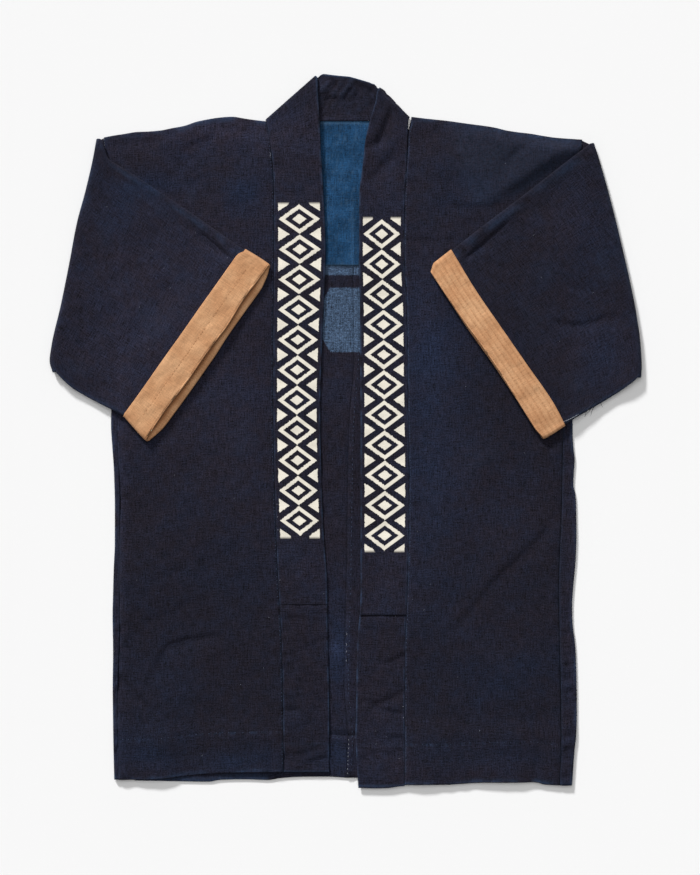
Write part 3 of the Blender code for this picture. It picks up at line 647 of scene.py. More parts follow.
def diamonds(shader, print_place):
    """A printed column of linked diamonds with small triangles between them, 1 where it is printed."""
    u, v, shown = shader.split(print_place)
    ragged = shader.noise(print_place, 0.5, 2.0) - 0.5
    u = abs(u + ragged * 2.2)
    step = shader.math("FRACT", (v + ragged * 2.0) / PRINT_STEP)
    up = abs(step - 0.5) * PRINT_STEP
    span = u / PRINT_HALF + up / (PRINT_STEP / 2)
    ring = span.ramp(0.66, 0.70) * span.ramp(0.99, 0.95)
    core = span.ramp(0.36, 0.32)
    corner = (PRINT_HALF - u) / 15.0 + (PRINT_STEP / 2 - up) / 10.0
    wedge = corner.ramp(1.0, 0.94) * u.ramp(PRINT_HALF, PRINT_HALF - 0.6)
    return shader.math("MAXIMUM", shader.math("MAXIMUM", ring, core), wedge) * shown


def faded_marks(shader, grain):
    """A faded hexagon under a bar on the back, 1 where they show."""
    x, y, _ = shader.split(shader.place())
    ragged = (shader.noise(grain, 0.3, 2.0) - 0.5) * 4.0
    x = abs(x * 1000.0 - GHOST_CENTRE[0])
    y = y * 1000.0 - GHOST_CENTRE[1]
    height = abs(y)
    core = (shader.math("MAXIMUM", height, x * 0.866 + height * 0.5) + ragged).ramp(44.0, 42.0)
    level = y + ragged
    bar = level.ramp(59.0, 61.0) * level.ramp(75.0, 73.0)
    thin = shader.noise(grain, 0.25, 5.0, roughness=0.75).ramp(0.3, 0.7, 0.35, 1.0)
    return shader.math("MAXIMUM", core, bar) * thin * shader.attribute("back")


def indigo(name, printed=False, ghost=False):
    """Dark blue cotton, faded and rubbed, with painted light and shade, and the band's print or the marks on
    the back.
    """
    shader = Shader(name, roughness=0.92, specular=0.1, sheen=0.02)
    grain = shader.attribute("grain", "Vector")
    height, tone = weave(shader, grain, 2.0, 1.7, 3.0)
    # the yarn's tone scaled by painted light and shade and by the cloth's own patchy tone
    tone = tone * shader.attribute("painted_light_and_tone")
    cloud = shader.noise(grain, 0.02, 5.0, roughness=0.7).ramp(0.35, 0.7)
    tint = shader.noise(grain, 0.11, 3.0).ramp(0.35, 0.7)
    patch = (shader.attribute("fade") * 0.55 + cloud * 0.45 + tint * 0.2).clamped()
    colour = shader.scaled(shader.blend(patch, DEEP, NAVY), tone)
    worn = (shader.attribute("wear") * (shader.noise(grain, 0.25, 3.0) * 1.6 - 0.15)).clamped()
    colour = shader.blend(worn, colour, FADED)
    soft_rub = shader.noise(grain, 0.9, 2.0).ramp(0.66, 0.8)
    colour = shader.blend(soft_rub * 0.16, colour, FADED)
    if printed:
        marks = diamonds(shader, shader.attribute("print", "Vector"))
        seep = shader.noise(grain, 0.6, 3.0).ramp(0.62, 0.8, 1.0, 0.72)
        colour = shader.blend(marks * seep, colour, shader.scaled(CHALK, height * 0.3 + 0.84))
    if ghost:
        colour = shader.blend(faded_marks(shader, grain), colour, shader.scaled(GHOST, tone))
    return shader.finish(colour, height, 0.35)


def tan_cotton():
    shader = Shader("tan_cotton_cloth", roughness=0.9, specular=0.2, sheen=0.05)
    grain = shader.attribute("grain", "Vector")
    height, tone = weave(shader, grain, 0.5, 0.6, 0.5)
    cloud = shader.noise(grain, 0.03, 3.0).ramp(0.35, 0.7)
    colour = shader.scaled(shader.blend(cloud, linear(190, 140, 100), linear(206, 159, 118)), tone)
    # Darker brown where worn and soiled at the seam, the stitch rows and the ends, and as painted shade
    # inside the opening.
    colour = shader.blend(shader.attribute("wear") * 0.75, colour, linear(142, 88, 50))
    return shader.finish(colour, height, 0.4)


def blue_cotton():
    shader = Shader("blue_lining_cloth", roughness=0.92, specular=0.12, sheen=0.04)
    grain = shader.attribute("grain", "Vector")
    height, tone = weave(shader, grain, 1.6, 1.2, 2.0)
    cloud = shader.noise(grain, 0.03, 3.0).ramp(0.35, 0.7)
    colour = shader.blend(cloud, linear(16, 50, 80), linear(26, 62, 96))
    # the lining's painted shadow and its own uneven tone scale its colour
    colour = shader.scaled(colour, tone * shader.attribute("painted_light_and_tone"))
    colour = shader.blend(shader.attribute("wear"), colour, linear(92, 124, 152))
    return shader.finish(colour, height, 0.35)


def thread_cotton(name, *srgb):
    shader = Shader(name, roughness=0.8, specular=0.25, sheen=0.1)
    twist = shader.noise(shader.place(), 900.0, 2.0)
    return shader.finish(shader.scaled(linear(*srgb), (twist - 0.5) * 0.5 + 1.0), twist, 0.1)


def floor_paper():
    shader = Shader("pale_floor", roughness=0.95, specular=0.1, sheen=0.0)
    tooth = shader.noise(shader.place(), 400.0, 2.0)
    return shader.finish(shader.scaled((0.90, 0.90, 0.90, 1.0), tooth * 0.01 + 0.995))


# ---------------------------------------------------------------- meshes

END_STEPS = (0.0, 0.06, 0.18, 0.38)  # places of the extra rows at a band's ends, in steps of its rows


def make_piece(name, corners, faces, material, wall=0.0, marks=None):
    """A mesh piece from corners in millimetres. marks holds its named values and vectors, one a corner."""
    mesh = bpy.data.meshes.new(name)
    mesh.from_pydata((corners * MM).tolist(), [], faces)
    for key, values in (marks or {}).items():
        kind, field = ("FLOAT_VECTOR", "vector") if values.ndim == 2 else ("FLOAT", "value")
        attribute = mesh.attributes.new(key, kind, "POINT")
        attribute.data.foreach_set(field, values.astype(np.float32).ravel())
    mesh.shade_smooth()
    mesh.materials.append(material)
    piece = bpy.data.objects.new(name, mesh)
    bpy.context.scene.collection.objects.link(piece)
    if wall:
        solid = piece.modifiers.new("wall", "SOLIDIFY")
        solid.thickness = wall * MM
        solid.offset = 0.0
    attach(piece, "root")
    return piece


def grid_faces(index, closed):
    """Quads between the neighbours of a grid of corner numbers, where all four are there."""
    far = np.roll(index, -1, axis=1) if closed else index[:, 1:]
    near = index if closed else index[:, :-1]
    quads = np.stack((near[:-1], far[:-1], far[1:], near[1:]), -1).reshape(-1, 4)
    return quads[(quads >= 0).all(axis=1)]


def shell(name, grid, wall, material, marks, closed=False):
    """One sheet of cloth with a wall. Returns the piece and the sheet's area in square metres."""
    there = ~np.isnan(grid[..., 0])
    index = np.full(grid.shape[:2], -1)
    index[there] = np.arange(there.sum())
    faces = grid_faces(index, closed)
    corners = grid[there]
    values = {key: value[there] for key, value in marks.items()}
    piece = make_piece(name, corners, faces.tolist(), material, wall, values)
    a, b, c, d = (corners[faces[:, k]] for k in range(4))
    area = np.linalg.norm(np.cross(c - a, d - b), axis=1).sum() / 2 * MM * MM
    return piece, float(area)


def end_rows(rows):
    """Rows of a band with more of them close to its two ends."""
    first = [mix(rows[0], rows[1], t) for t in END_STEPS]
    last = [mix(rows[-1], rows[-2], t) for t in END_STEPS[::-1]]
    return np.array(first + list(rows[1:-1]) + last)


def rounded(distance):
    """Half the thickness of a band at a distance in from its edge."""
    return BAND / 2 * np.sqrt(1 - (1 - np.clip(distance / (BAND / 2), 0, 1)) ** 2)


def thick_band(name, grid, marks):
    """A flat band of pressed layers with rounded edges, round a sheet of points."""
    grid = end_rows(grid)
    normal = unit(np.cross(np.gradient(grid, axis=0), np.gradient(grid, axis=1)))
    place = run_along(grid.transpose(1, 0, 2)).T
    run = run_along(grid)
    edge = np.minimum(place, place[:, -1:] - place)
    end = np.minimum(run, run[-1:] - run)
    half = np.minimum(rounded(edge), rounded(end + 0.02))[..., None]
    under = (grid - normal * half)[:, -2:0:-1]
    ring = np.concatenate((grid + normal * half, under), axis=1)
    rows, spots = ring.shape[:2]
    index = np.arange(rows * spots).reshape(rows, spots)
    faces = grid_faces(index, True).tolist()
    for row, way in ((index[0].tolist(), -1), (index[-1].tolist(), 1)):
        for k in range(grid.shape[1] - 1):
            cap = [row[k], row[k + 1], row[(spots - k - 1) % spots], row[(spots - k) % spots]]
            faces.append(list(dict.fromkeys(cap))[::way])
    values = {}
    for key, value in marks.items():
        value = end_rows(value)
        values[key] = np.concatenate((value, value[:, -2:0:-1]), axis=1).reshape(-1, *value.shape[2:])
    return make_piece(name, ring.reshape(-1, 3), faces, BAND_CLOTH, 0.0, values)


# ---------------------------------------------------------------- body widths

LAP = 1.7  # how far the right back reaches over the centre seam, and how much higher it lies there
LAP_RISE = 1.15
STRIP_X = -8.0  # middle, half width and top of the strip of the back that shows between the fronts
STRIP_HALF = 34.0
STRIP_TOP = 215.0
STRIP_FOOT = -407.0  # the back lies flat below this, where its hem is turned up inside
HEM_STITCH = 2.0  # from the stitches of a hem up to the edge of the cloth turned inside
FRONT_CELL = 3.2  # size of the mesh's squares on the fronts, the back and its neck
BACK_CELL = 4.0
NECK_CELL = 4.0
BACK_LENGTH = 880.0
COVER_MARGIN = 12.0  # how far beyond the cuff a front is taken to be covered by it
HEM_ROWS = 19  # rows of the front up to the edge of the cloth turned inside
TURN_ROWS = 8  # steps round the turned hems
FOLD_ROWS = 12  # steps round the shoulder and the gusset's fold
SEAM_GROOVE = {-1: 0.5, 1: 0.1}  # depth of the groove where the front meets the neckband
SIDE_GROOVE = {-1: 0.5, 1: 0.9}  # the same where it meets the gusset

# Where each piece starts in the pattern of the yarn, so that no two look alike.
BODY_GRAIN = {-1: 0, 1: 700}
GUSSET_GRAIN = 1500
SLEEVE_GRAIN = {-1: 2200, 1: 2900}
CUFF_GRAIN = {-1: 3600, 1: 4000}
BAND_GRAIN = 5000
LINING_GRAIN = 6400

# Columns: x y, its reach in x and in y, strength. Where the dye has faded to blue; the one below nothing, at
# (200, 374), takes the blue out of the painted shade above the right sleeve's edge.
FADES = (
    (113, -11, 42, 200, 1.0), (120, 120, 60, 60, 0.5), (-131, 323, 26, 26, 1.2), (-275, -420, 50, 34, 1.0),
    (-150, -442, 80, 18, 1.0), (210, -330, 70, 40, 0.8), (180, -430, 120, 20, 0.6),
    (-160, -200, 60, 50, 0.4), (-250, -330, 40, 60, 0.5), (150, 330, 30, 30, 0.6), (-10, -300, 14, 60, 1.6),
    (-10, -435, 20, 26, 1.2), (-300, 300, 40, 30, 0.8), (-250, 330, 60, 12, 0.9), (330, 240, 30, 80, 0.5),
    (350, 110, 30, 30, 0.7), (200, 374, 60, 32, -1.0),
)
# The same columns. Patches that make the cloth lighter, or below nothing darker: some are the cloth's own
# uneven tone, the rest painted light and shade. Painted light brightens the shoulders, the upper left and
# the top of the collar, as if the light fell stronger there; painted shade darkens the hollow above the
# right sleeve's edge at (206, 372), (234, 330) and (266, 350); a painted shadow line lies above the back's
# turned-up hem at (-5, -404) and (7, -405).
PAINTED_LIGHT_AND_TONE_PATCHES = (
    (-255, 140, 160, 200, 0.6), (-70, 330, 130, 120, 0.32), (-170, 400, 120, 28, 0.8),
    (190, 402, 130, 26, 0.22), (234, 330, 17, 13, -0.28), (266, 350, 17, 11, -0.25),
    (-312, 375, 16, 14, 0.35), (-12, -291, 9, 10, 0.9), (300, 277, 50, 40, 0.3), (307, 163, 60, 60, 0.12),
    (-144, 29, 50, 60, 0.22), (54, 337, 30, 60, 0.28), (49, -215, 25, 30, 0.25), (47, -350, 30, 90, 0.22),
    (130, -450, 150, 24, 0.15), (-200, -452, 120, 18, 0.12), (176, -246, 60, 50, 0.12),
    (-60, -300, 30, 90, 0.08), (-28, 466, 9, 9, 0.45), (102, 176, 26, 70, 0.3), (-132, -92, 50, 60, 0.2),
    (30, 470, 16, 10, -0.2), (-10, -90, 20, 50, 0.16), (-62, -185, 30, 30, 0.12), (-60, 410, 60, 20, 0.1),
    (130, 330, 120, 90, 0.2), (350, 95, 60, 60, 0.4), (115, 50, 50, 130, 0.42), (70, -170, 45, 70, 0.35),
    (-60, -160, 40, 70, 0.25), (180, -100, 100, 60, 0.25), (306, -200, 12, 220, 0.45),
    (-301, -120, 7, 300, 0.4), (-5, -300, 25, 110, 0.3), (-2, -438, 26, 26, 0.12), (0, 60, 40, 70, 0.3),
    (60, -440, 40, 36, 0.2), (206, 372, 58, 30, -0.42), (100, 380, 30, 26, 0.08), (-5, -404, 15, 2.8, -0.5),
    (7, -405, 8, 2.8, -0.35),
)


def patches(rows, x, y):
    """What the patches of a table add up to at each place."""
    total = 0 * x
    for middle_x, middle_y, reach_x, reach_y, strength in rows:
        total = total + strength * bell(x - middle_x, reach_x) * bell(y - middle_y, reach_y)
    return total


def cloth_marks(grid, grain, wear, fading=1.0, **others):
    """What the material of the indigo cloth reads at each corner."""
    x, y = grid[..., 0], grid[..., 1]
    return {
        "grain": grain,
        "wear": np.nan_to_num(np.clip(wear, 0, 1)),
        "fade": np.nan_to_num(fading * patches(FADES, x, y)),
        # painted light and shade, with the cloth's own uneven tone, from the patches above
        "painted_light_and_tone": np.nan_to_num(1 + patches(PAINTED_LIGHT_AND_TONE_PATCHES, x, y)),
        **others,
    }


def outline_distance(x, y, outline):
    """Distance to a closed outline, above nothing inside it."""
    nearest = np.full(np.broadcast(x, y).shape, 1e9)
    inside = np.zeros(nearest.shape, bool)
    for (x0, y0), (x1, y1) in zip(outline, outline[1:] + outline[:1]):
        dx, dy = x1 - x0, y1 - y0
        t = np.clip(((x - x0) * dx + (y - y0) * dy) / (dx * dx + dy * dy), 0, 1)
        nearest = np.minimum(nearest, np.hypot(x - x0 - dx * t, y - y0 - dy * t))
        crosses = (y0 > y) != (y1 > y)
        inside ^= crosses & (x < x0 + (y - y0) * dx / (dy or 1e-9))
    return np.where(inside, nearest, -nearest)


def covered(side, x, y):
    """1 under the folded sleeve and its cuff, 0 where the front is free."""
    top = np.array(side.cuff_top, float)
    bottom = np.array(side.cuff_bottom, float)
    line = unit(bottom - top)
    inward = np.array((line[1], -line[0])) * side.sign * (side.cuff_depth + COVER_MARGIN)
    start = np.array((side.sleeve_x[0][1], side.sleeve_y[0][1] + 1))
    shares = (0, 0.07, 0.2, 0.4, 0.65, 0.9)
    outline = [mix(start, top, share) + line * (edge_bow(side, share) - 2) for share in shares]
    outline += [
        top - line * 6,
        top + inward - line * 6,
        bottom + inward + line * COVER_MARGIN,
        bottom + line * COVER_MARGIN,
        (side.sleeve_x[-1][1], side.sleeve_y[-1][1] - 10),
        (side.sleeve_x[-1][1], side.sleeve_y[0][1]),
    ]
    return smooth(outline_distance(x, y, outline) / 5 + 1)


def front_relief(side, x, y, hem_y, shoulder_y):
    """The small rises and hollows of a front: creases, puckers, the hem's stitches, the seams' edges."""
    seed = FRONT_SEED[side.sign]
    rise = CREASE_GAIN * creased(FRONT_CREASES[side.sign], x, y) + swells(FRONT_SWELLS, x, y, seed)
    stitch = y - hem_y - HEM_DEPTH + HEM_STITCH
    rise += -0.5 * bell(stitch, 1.9) + 0.22 * ripples(x, 15, seed + 3) * bell(stitch, 8)
    rise += 0.2 * ripples(x, 28, seed + 6) * bell(y - hem_y, 14)
    to_seam = np.abs(curve(side.collar_seam, y) - x)
    rise += 0.35 * bell(to_seam - 7, 5) - SEAM_GROOVE[side.sign] * bell(to_seam, 2.2)
    rise += 0.2 * ripples(y, 15, seed + 4) * bell(to_seam, 10)
    rise += 0.9 * bell(to_seam, 7) * smooth((y - 280) / 50) * (side.sign > 0)
    to_side = np.abs(curve(side.front_edge, y) - x)
    rise += 0.3 * bell(to_side - 8, 5) - SIDE_GROOVE[side.sign] * bell(to_side, 2.5)
    rise += 0.2 * ripples(y, 18, seed + 7) * bell(to_side, 12)
    rise *= 1 - 0.85 * covered(side, x, y)
    return rise * smooth((shoulder_y - y) / 16)


def front_rows(side, across):
    """Rows of a front from its hem up, with the lines of its hem and its shoulder."""
    hem_y = side.hem[0][1]
    hem_x = mix(curve(side.front_edge, hem_y), curve(side.collar_seam, hem_y), across)
    top_x = mix(side.armhole_top[0], side.neck_x, across)
    top_y = curve(side.shoulder, top_x) - CLOTH / 2
    top_y = top_y - (front_height(top_x, top_y) - BACK_Z) / 2
    bottom_y = curve(side.hem, hem_x) + HEM_ROUND
    length = float((top_y - bottom_y).mean())
    turn = HEM_DEPTH / length
    free = np.linspace(turn, 1, round(length / FRONT_CELL))
    ups = np.concatenate((np.linspace(0, turn, HEM_ROWS)[:-1], free))
    y = mix(bottom_y, top_y, ups[:, None])
    x = mix(curve(side.front_edge, y), curve(side.collar_seam, y) + side.sign * SEAM_GAP, across)
    height = front_height(x, y) + front_relief(side, x, y, bottom_y, top_y)
    return points(x, y, height), bottom_y, top_y


def back_rows(side, tops, width, past):
    """Rows of the back below its top one, and its hem's line. A column's width is its share of the way to
    the neck, and past its share of the way on to the centre seam."""
    gap = side.sign * SEAM_GAP / 2
    foot_x = mix(side.back_edge[0][1], side.neck_x, width)
    foot_x = np.where(past > 0, mix(side.neck_x, CENTRE_SEAM[0][1] + gap, past), foot_x)
    foot_y = curve(side.back_hem, foot_x) + HEM_ROUND
    count = round(BACK_LENGTH / BACK_CELL)
    y = mix(tops[:, 1], foot_y, np.arange(1, count + 1)[:, None] / count)
    x = mix(straight(side.back_edge, y), side.neck_x, width)
    x = np.where(past > 0, mix(side.neck_x, curve(CENTRE_SEAM, y) + gap, past), x)
    x = mix(tops[:, 0], x, smooth((tops[:, 1] - y) / 60))
    free = smooth((STRIP_HALF - np.abs(x - STRIP_X)) / 10) * smooth((STRIP_TOP - y) / 10)
    free = free * smooth((y - STRIP_FOOT) / 3.5)
    lift = np.clip(0.6 + 0.2 * waves(x, y, 45, 5) + creased(BACK_CREASES, x, y), 0, 1.2)
    allowance = x - curve(CENTRE_SEAM, y)
    if side.sign > 0:
        lift = LAP_RISE * smooth((13 - allowance) / 12) * smooth(2 * free) + 0.3 * lift * free
        x[:, -1] -= LAP * smooth(2 * free[:, -1] - 1)
        lift[:, -1] = LAP_RISE * smooth(2 * free[:, -1])
    else:
        lift = lift * free * smooth((-allowance - 2) / 6)
    return points(x, y, BACK_Z + lift), foot_y


def back_inside(side, turn):
    """The cloth turned up inside the back's hem, from its turn up."""
    inside = turn + points(0, np.linspace(0, HEM_DEPTH, TURN_ROWS), 0)[:, None]
    inside[:, -1, 0] = curve(CENTRE_SEAM, inside[:, -1, 1]) + side.sign * SEAM_GAP / 2
    if side.sign > 0:
        inside[:, -1] += np.array((-LAP, 0, LAP_RISE))
        inside[:, -2] += np.array((0, 0, 0.8 * LAP_RISE))
    return inside


def body_wear(side, grid, on_front, on_back, bottom_y, top_y, foot_y):
    """How worn the edges, seams and ridges are, across the width of the front."""
    x, y = grid[..., 0], grid[..., 1]
    rub = patchy(x, y, 26, 99)
    stitch = bell(y - bottom_y - HEM_DEPTH + HEM_STITCH, 1.1) * np.clip(ripples(x, 9, 98), 0, 1)
    edges = 0.4 * bell(y - bottom_y, 3) + 0.3 * bell(curve(side.collar_seam, y) - x, 1.8)
    edges += 0.12 * bell(curve(side.front_edge, y) - x, 2.5)
    ridges = np.clip(creased(FRONT_CREASES[side.sign], x, y), 0, 1)
    wear = on_front * (edges * rub + 0.3 * stitch + 0.15 * ridges)
    wear += (1 - on_back) * 0.3 * bell(y - top_y, 4) * rub
    return wear + on_back * 0.4 * bell(y - foot_y, 4)


def body(side):
    """A front and its half of the back, one sheet that turns at the shoulder and at both hems."""
    front_columns = round(abs(side.armhole_top[0] - side.neck_x) / FRONT_CELL)
    neck_columns = round(abs(side.neck_x - CENTRE_SEAM[-1][1]) / NECK_CELL)
    front, bottom_y, top_y = front_rows(side, np.linspace(0, 1, front_columns + 1))
    turned = front[:HEM_ROWS][::-1] - UP * FRONT_TURN_DROP
    hem_turn = half_turn(turned[-1], front[0], (0, -1, 0), TURN_ROWS)
    shoulder = front[-1] * LEVEL + UP * BACK_Z
    over = half_turn(front[-1], shoulder, (0, 1, 0), FOLD_ROWS)

    column = np.arange(front_columns + neck_columns + 1)
    past = np.clip((column - front_columns) / neck_columns, 0, 1)
    centre_top = CENTRE_SEAM[-1][1] + side.sign * SEAM_GAP / 2
    neck_x = mix(side.neck_x, centre_top, past[front_columns + 1:])
    tops = np.concatenate((shoulder, points(neck_x, curve(side.neck, neck_x), BACK_Z)))
    back, foot_y = back_rows(side, tops, column / front_columns, past)
    back_turn = back[-1] * LEVEL + UP * BACK_TURN_Z
    foot = half_turn(back[-1], back_turn, (0, -1, 0), TURN_ROWS)

    narrow = np.concatenate((turned, hem_turn, front, over))
    blank = np.full((len(narrow), neck_columns, 3), np.nan)
    wide = np.concatenate((tops[None], back, foot, back_inside(side, back_turn)))
    grid = np.concatenate((np.concatenate((narrow, blank), axis=1), wide))

    on_front, on_back, wear = np.zeros((3, *grid.shape[:2]))
    on_front[len(turned) + len(hem_turn):len(narrow) - len(over)] = 1
    on_back[len(narrow):] = 1
    part = slice(0, front_columns + 1)
    worn = (on_front[:, part], on_back[:, part], bottom_y, top_y, foot_y[part])
    wear[:, part] = body_wear(side, grid[:, part], *worn)
    run = run_along(np.nan_to_num(grid))
    grain = points(grid[..., 0], run + BODY_GRAIN[side.sign], 0)
    marks = cloth_marks(grid, grain, wear, back=on_back)
    piece, area = shell("coat_body_" + side.name, grid, CLOTH, INDIGO_BODY, marks)
    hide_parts("body_" + side.name)
    return piece


# ---------------------------------------------------------------- gussets


def gusset(side):
    """The strip between a front and the back, folded along the garment's side."""
    bottom = side.outer_edge[0][0]
    y = np.linspace(bottom, side.armhole_bottom[1] - 6, 180)
    front_x = curve(side.front_edge, y)
    height = front_height(front_x, y)
    radius = (height - BACK_Z) / 2
    turn_x = curve(side.outer_edge, y) - side.sign * (radius + CLOTH / 2)
    fine = 0.15 + 0.5 * smooth((-230 - y) / 60)
    ripple = 0.25 * ripples(y, 38, 31) + fine * ripples(y, 12, 32)
    shares = np.linspace(0, 1, 9)[:, None]
    lift = (ripple + 0.15) * np.sin(np.pi * shares) - 0.35 * bell(shares, 0.12)
    upper = points(mix(front_x + side.sign * SEAM_GAP, turn_x, shares), y, height + lift)
    lower_x = straight(side.back_edge, y) + side.sign * SEAM_GAP
    lower = points(mix(turn_x, lower_x, np.linspace(0, 1, 5)[:, None]), y, BACK_Z)
    turn = half_turn(upper[-1], lower[0], (side.sign, 0, 0), FOLD_ROWS)
    rows = np.concatenate((upper, turn, lower))
    grid = rows.transpose(1, 0, 2)
    gx, gy = grid[..., 0], grid[..., 1]
    wear = 0.35 * bell(gx - curve(side.outer_edge, gy), 3) * patchy(gy, 0 * gy, 30, 97)
    wear += 0.12 * bell(gx - curve(side.front_edge, gy), 2) + 0.25 * bell(gy - bottom, 4)
    marks = cloth_marks(grid, points(run_along(rows).T + GUSSET_GRAIN, gy, 0), wear)
    piece, area = shell("coat_gusset_" + side.name, grid, CLOTH, INDIGO, marks)
    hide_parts("gusset_" + side.name)
    return piece


# ---------------------------------------------------------------- sleeves and cuffs

SLEEVE_SPAN = 310.0  # rough widths of the sleeve and the cuff, for their yarn and their wear
CUFF_SPAN = 270.0
LOWER_RINGS = 11  # sections of the sleeve below its fold and above it, and of the cuff's outside
UPPER_RINGS = 75
CUFF_RINGS = 34
CUFF_EDGE = 3.0  # the inside of the cuff starts this far behind its turned edge
PUCKERS = 265 / 6.5  # number of puckers along the cuff
# Places of the lengthwise stitch rows, from seam to opening, and how deep and how pale they are.
STITCH_ROWS = {-1: (0.5,), 1: (0.14, 0.34, 0.54, 0.72, 0.9)}
STITCH_DEPTH = {-1: 0.4, 1: 1.0}
STITCH_WEAR = {-1: 0.3, 1: 1.0}


def tube_spots():
    """Places round a flattened tube: how far across it, and the way to its wall, out and past its edge."""
    under, edge = 40, 6
    top = np.concatenate((np.linspace(0, 0.13, 24), np.linspace(0.13, 1, 78)[1:]))
    angles = np.pi * np.arange(1, edge) / edge
    bottom = np.linspace(1, 0, under)
    v = np.concatenate((top, np.ones(edge - 1), bottom, np.zeros(edge - 1)))
    outward = np.concatenate((np.ones(len(top)), np.cos(angles), -np.ones(under), -np.cos(angles)))
    past = np.concatenate((np.zeros(len(top)), np.sin(angles), np.zeros(under), np.sin(angles)))
    return v, outward, past


V, OUTWARD, PAST = tube_spots()
ABOVE = np.clip(OUTWARD, 0, 1)  # 1 on the wall that faces up


def between(start, end, v):
    """Places on the floor between two (x, y) ones."""
    return mix(np.array((*start, 0.0)), np.array((*end, 0.0)), v[:, None])


def beside(line, side):
    """The level way square to a line that runs down the garment, towards its edge."""
    return np.stack((-line[..., 1], line[..., 0], 0 * line[..., 0]), -1) * side.sign


def fold_at(side, v):
    return points(curve(side.sleeve_x, v), curve(side.sleeve_y, v), 0)


def fold_line(side):
    """The way down along the sleeve's fold."""
    return unit(fold_at(side, V + TANGENT_REACH) - fold_at(side, V - TANGENT_REACH))


def bend_at(side):
    """Where the tube starts to bend up, on the floor."""
    return fold_at(side, V) - beside(fold_line(side), side) * (SLEEVE_TURN + TUBE_HALF + CLOTH / 2)


def cuff_line(side):
    top, bottom = between(side.cuff_top, side.cuff_bottom, np.array((0.0, 1.0)))
    return unit(bottom - top)


def cuff_row(side, v, depth):
    """Places at a depth from the straight line of a cuff's seam, towards its opening."""
    return between(side.cuff_top, side.cuff_bottom, v) - beside(cuff_line(side), side) * depth


def past_edge(side, share):
    """The way past the tube's two edges, from the fold, 0, to the cuff, 1."""
    down = unit(mix(fold_line(side), cuff_line(side), share))
    return np.where(V < 0.5, -PAST, PAST)[:, None] * down


def lower_ring(side, share):
    """A section of the stretch under the fold, from the armhole out."""
    start = between(side.armhole_top, side.armhole_bottom, V)
    start[:, 0] = np.where(OUTWARD < 0, curve(side.front_edge, start[:, 1]), start[:, 0])
    start[:, 0] += side.sign * ARMHOLE_GAP
    middle = mix(start, bend_at(side), share) + UP * (BACK_Z + TUBE_HALF)
    return middle + (past_edge(side, 0) - UP * OUTWARD[:, None]) * TUBE_HALF


def fold_ring(side, angle):
    """A section of the fold, at an angle round it."""
    height = BACK_Z + TUBE_HALF + SLEEVE_TURN * (1 - math.cos(angle))
    out = beside(fold_line(side), side) * math.sin(angle)
    way = (out - UP * math.cos(angle)) * OUTWARD[:, None] + past_edge(side, 0)
    return bend_at(side) + out * SLEEVE_TURN + UP * height + way * TUBE_HALF


def edge_bow(side, share):
    """How far the sleeve's upper edge hangs below a straight line, from the fold to the cuff."""
    return side.edge_bow * (1 - share) ** 2 * smooth(share / 0.1)


def tube_half(side, run, length):
    """Half the height between the two walls where the sleeve lies on the front."""
    late = smooth((run / length - 0.35) / 0.4)
    roll = (side.edge_roll - TUBE_HALF) * bell(V, ROLL_WIDTH) * mix(0.35, 1, late)
    trough = TROUGH_DEPTH * bell(V - TROUGH_V, TROUGH_WIDTH) * late
    belly = np.sin(np.pi * V)
    half = mix(TUBE_HALF, TUBE_HALF + roll - trough + BILLOW * belly, smooth(run / SETTLE_RUN))
    return mix(half, CUFF_HALF + CUFF_GAPE * belly, smooth((run - length + SWELL_FROM) / SWELL_RUN))


def lip_at(side):
    """Distance from the cuff's seam to its opening, on the wall above and the one below."""
    above = (1 + OUTWARD) / 2
    return curve(side.upper_lip, V) * above + curve(side.lower_lip, V) * (1 - above)


def upper_ring(side, share, inset, offset=0.0):
    """A section of the stretch that lies on the front, inset from the opening, moved out by an offset."""
    bend = bend_at(side)
    end = cuff_row(side, V, side.cuff_depth)
    length = np.linalg.norm(end - bend, axis=1)
    run = share * (length - inset)
    half = tube_half(side, run, length)
    under = mix(BACK_Z + 2 * SLEEVE_TURN, SLEEVE_REST, smooth(run / SETTLE_RUN))
    under = under + (CUFF_REST - SLEEVE_REST) * smooth((run - length + SWELL_FROM) / SWELL_RUN)
    lip = (lip_at(side) - side.cuff_depth) * smooth(run / length)
    flare = (V - 0.5) * 2 * np.where(V < 0.5, *side.flare) * smooth(1 - (length - run) / 60)
    sag = side.sag * V**SAG_POWER * np.sin(np.pi * (run / length) ** SAG_LEAN)
    bow = edge_bow(side, run / length) * (1 - V) ** 8
    cut = side.chamfer * bell(V, 0.04) * smooth(1 - (length - run) / 11)
    heel = straight(side.heel, length - run) * bell(1 - V, 0.14)
    down = (sag + flare + bow + cut + heel)[:, None]
    place = mix(bend, end, ((run + lip) / length)[:, None]) + cuff_line(side) * down
    way = UP * OUTWARD[:, None] + past_edge(side, (run / length)[:, None])
    return place + UP * (under + half)[:, None] + way * (half + offset)[:, None]


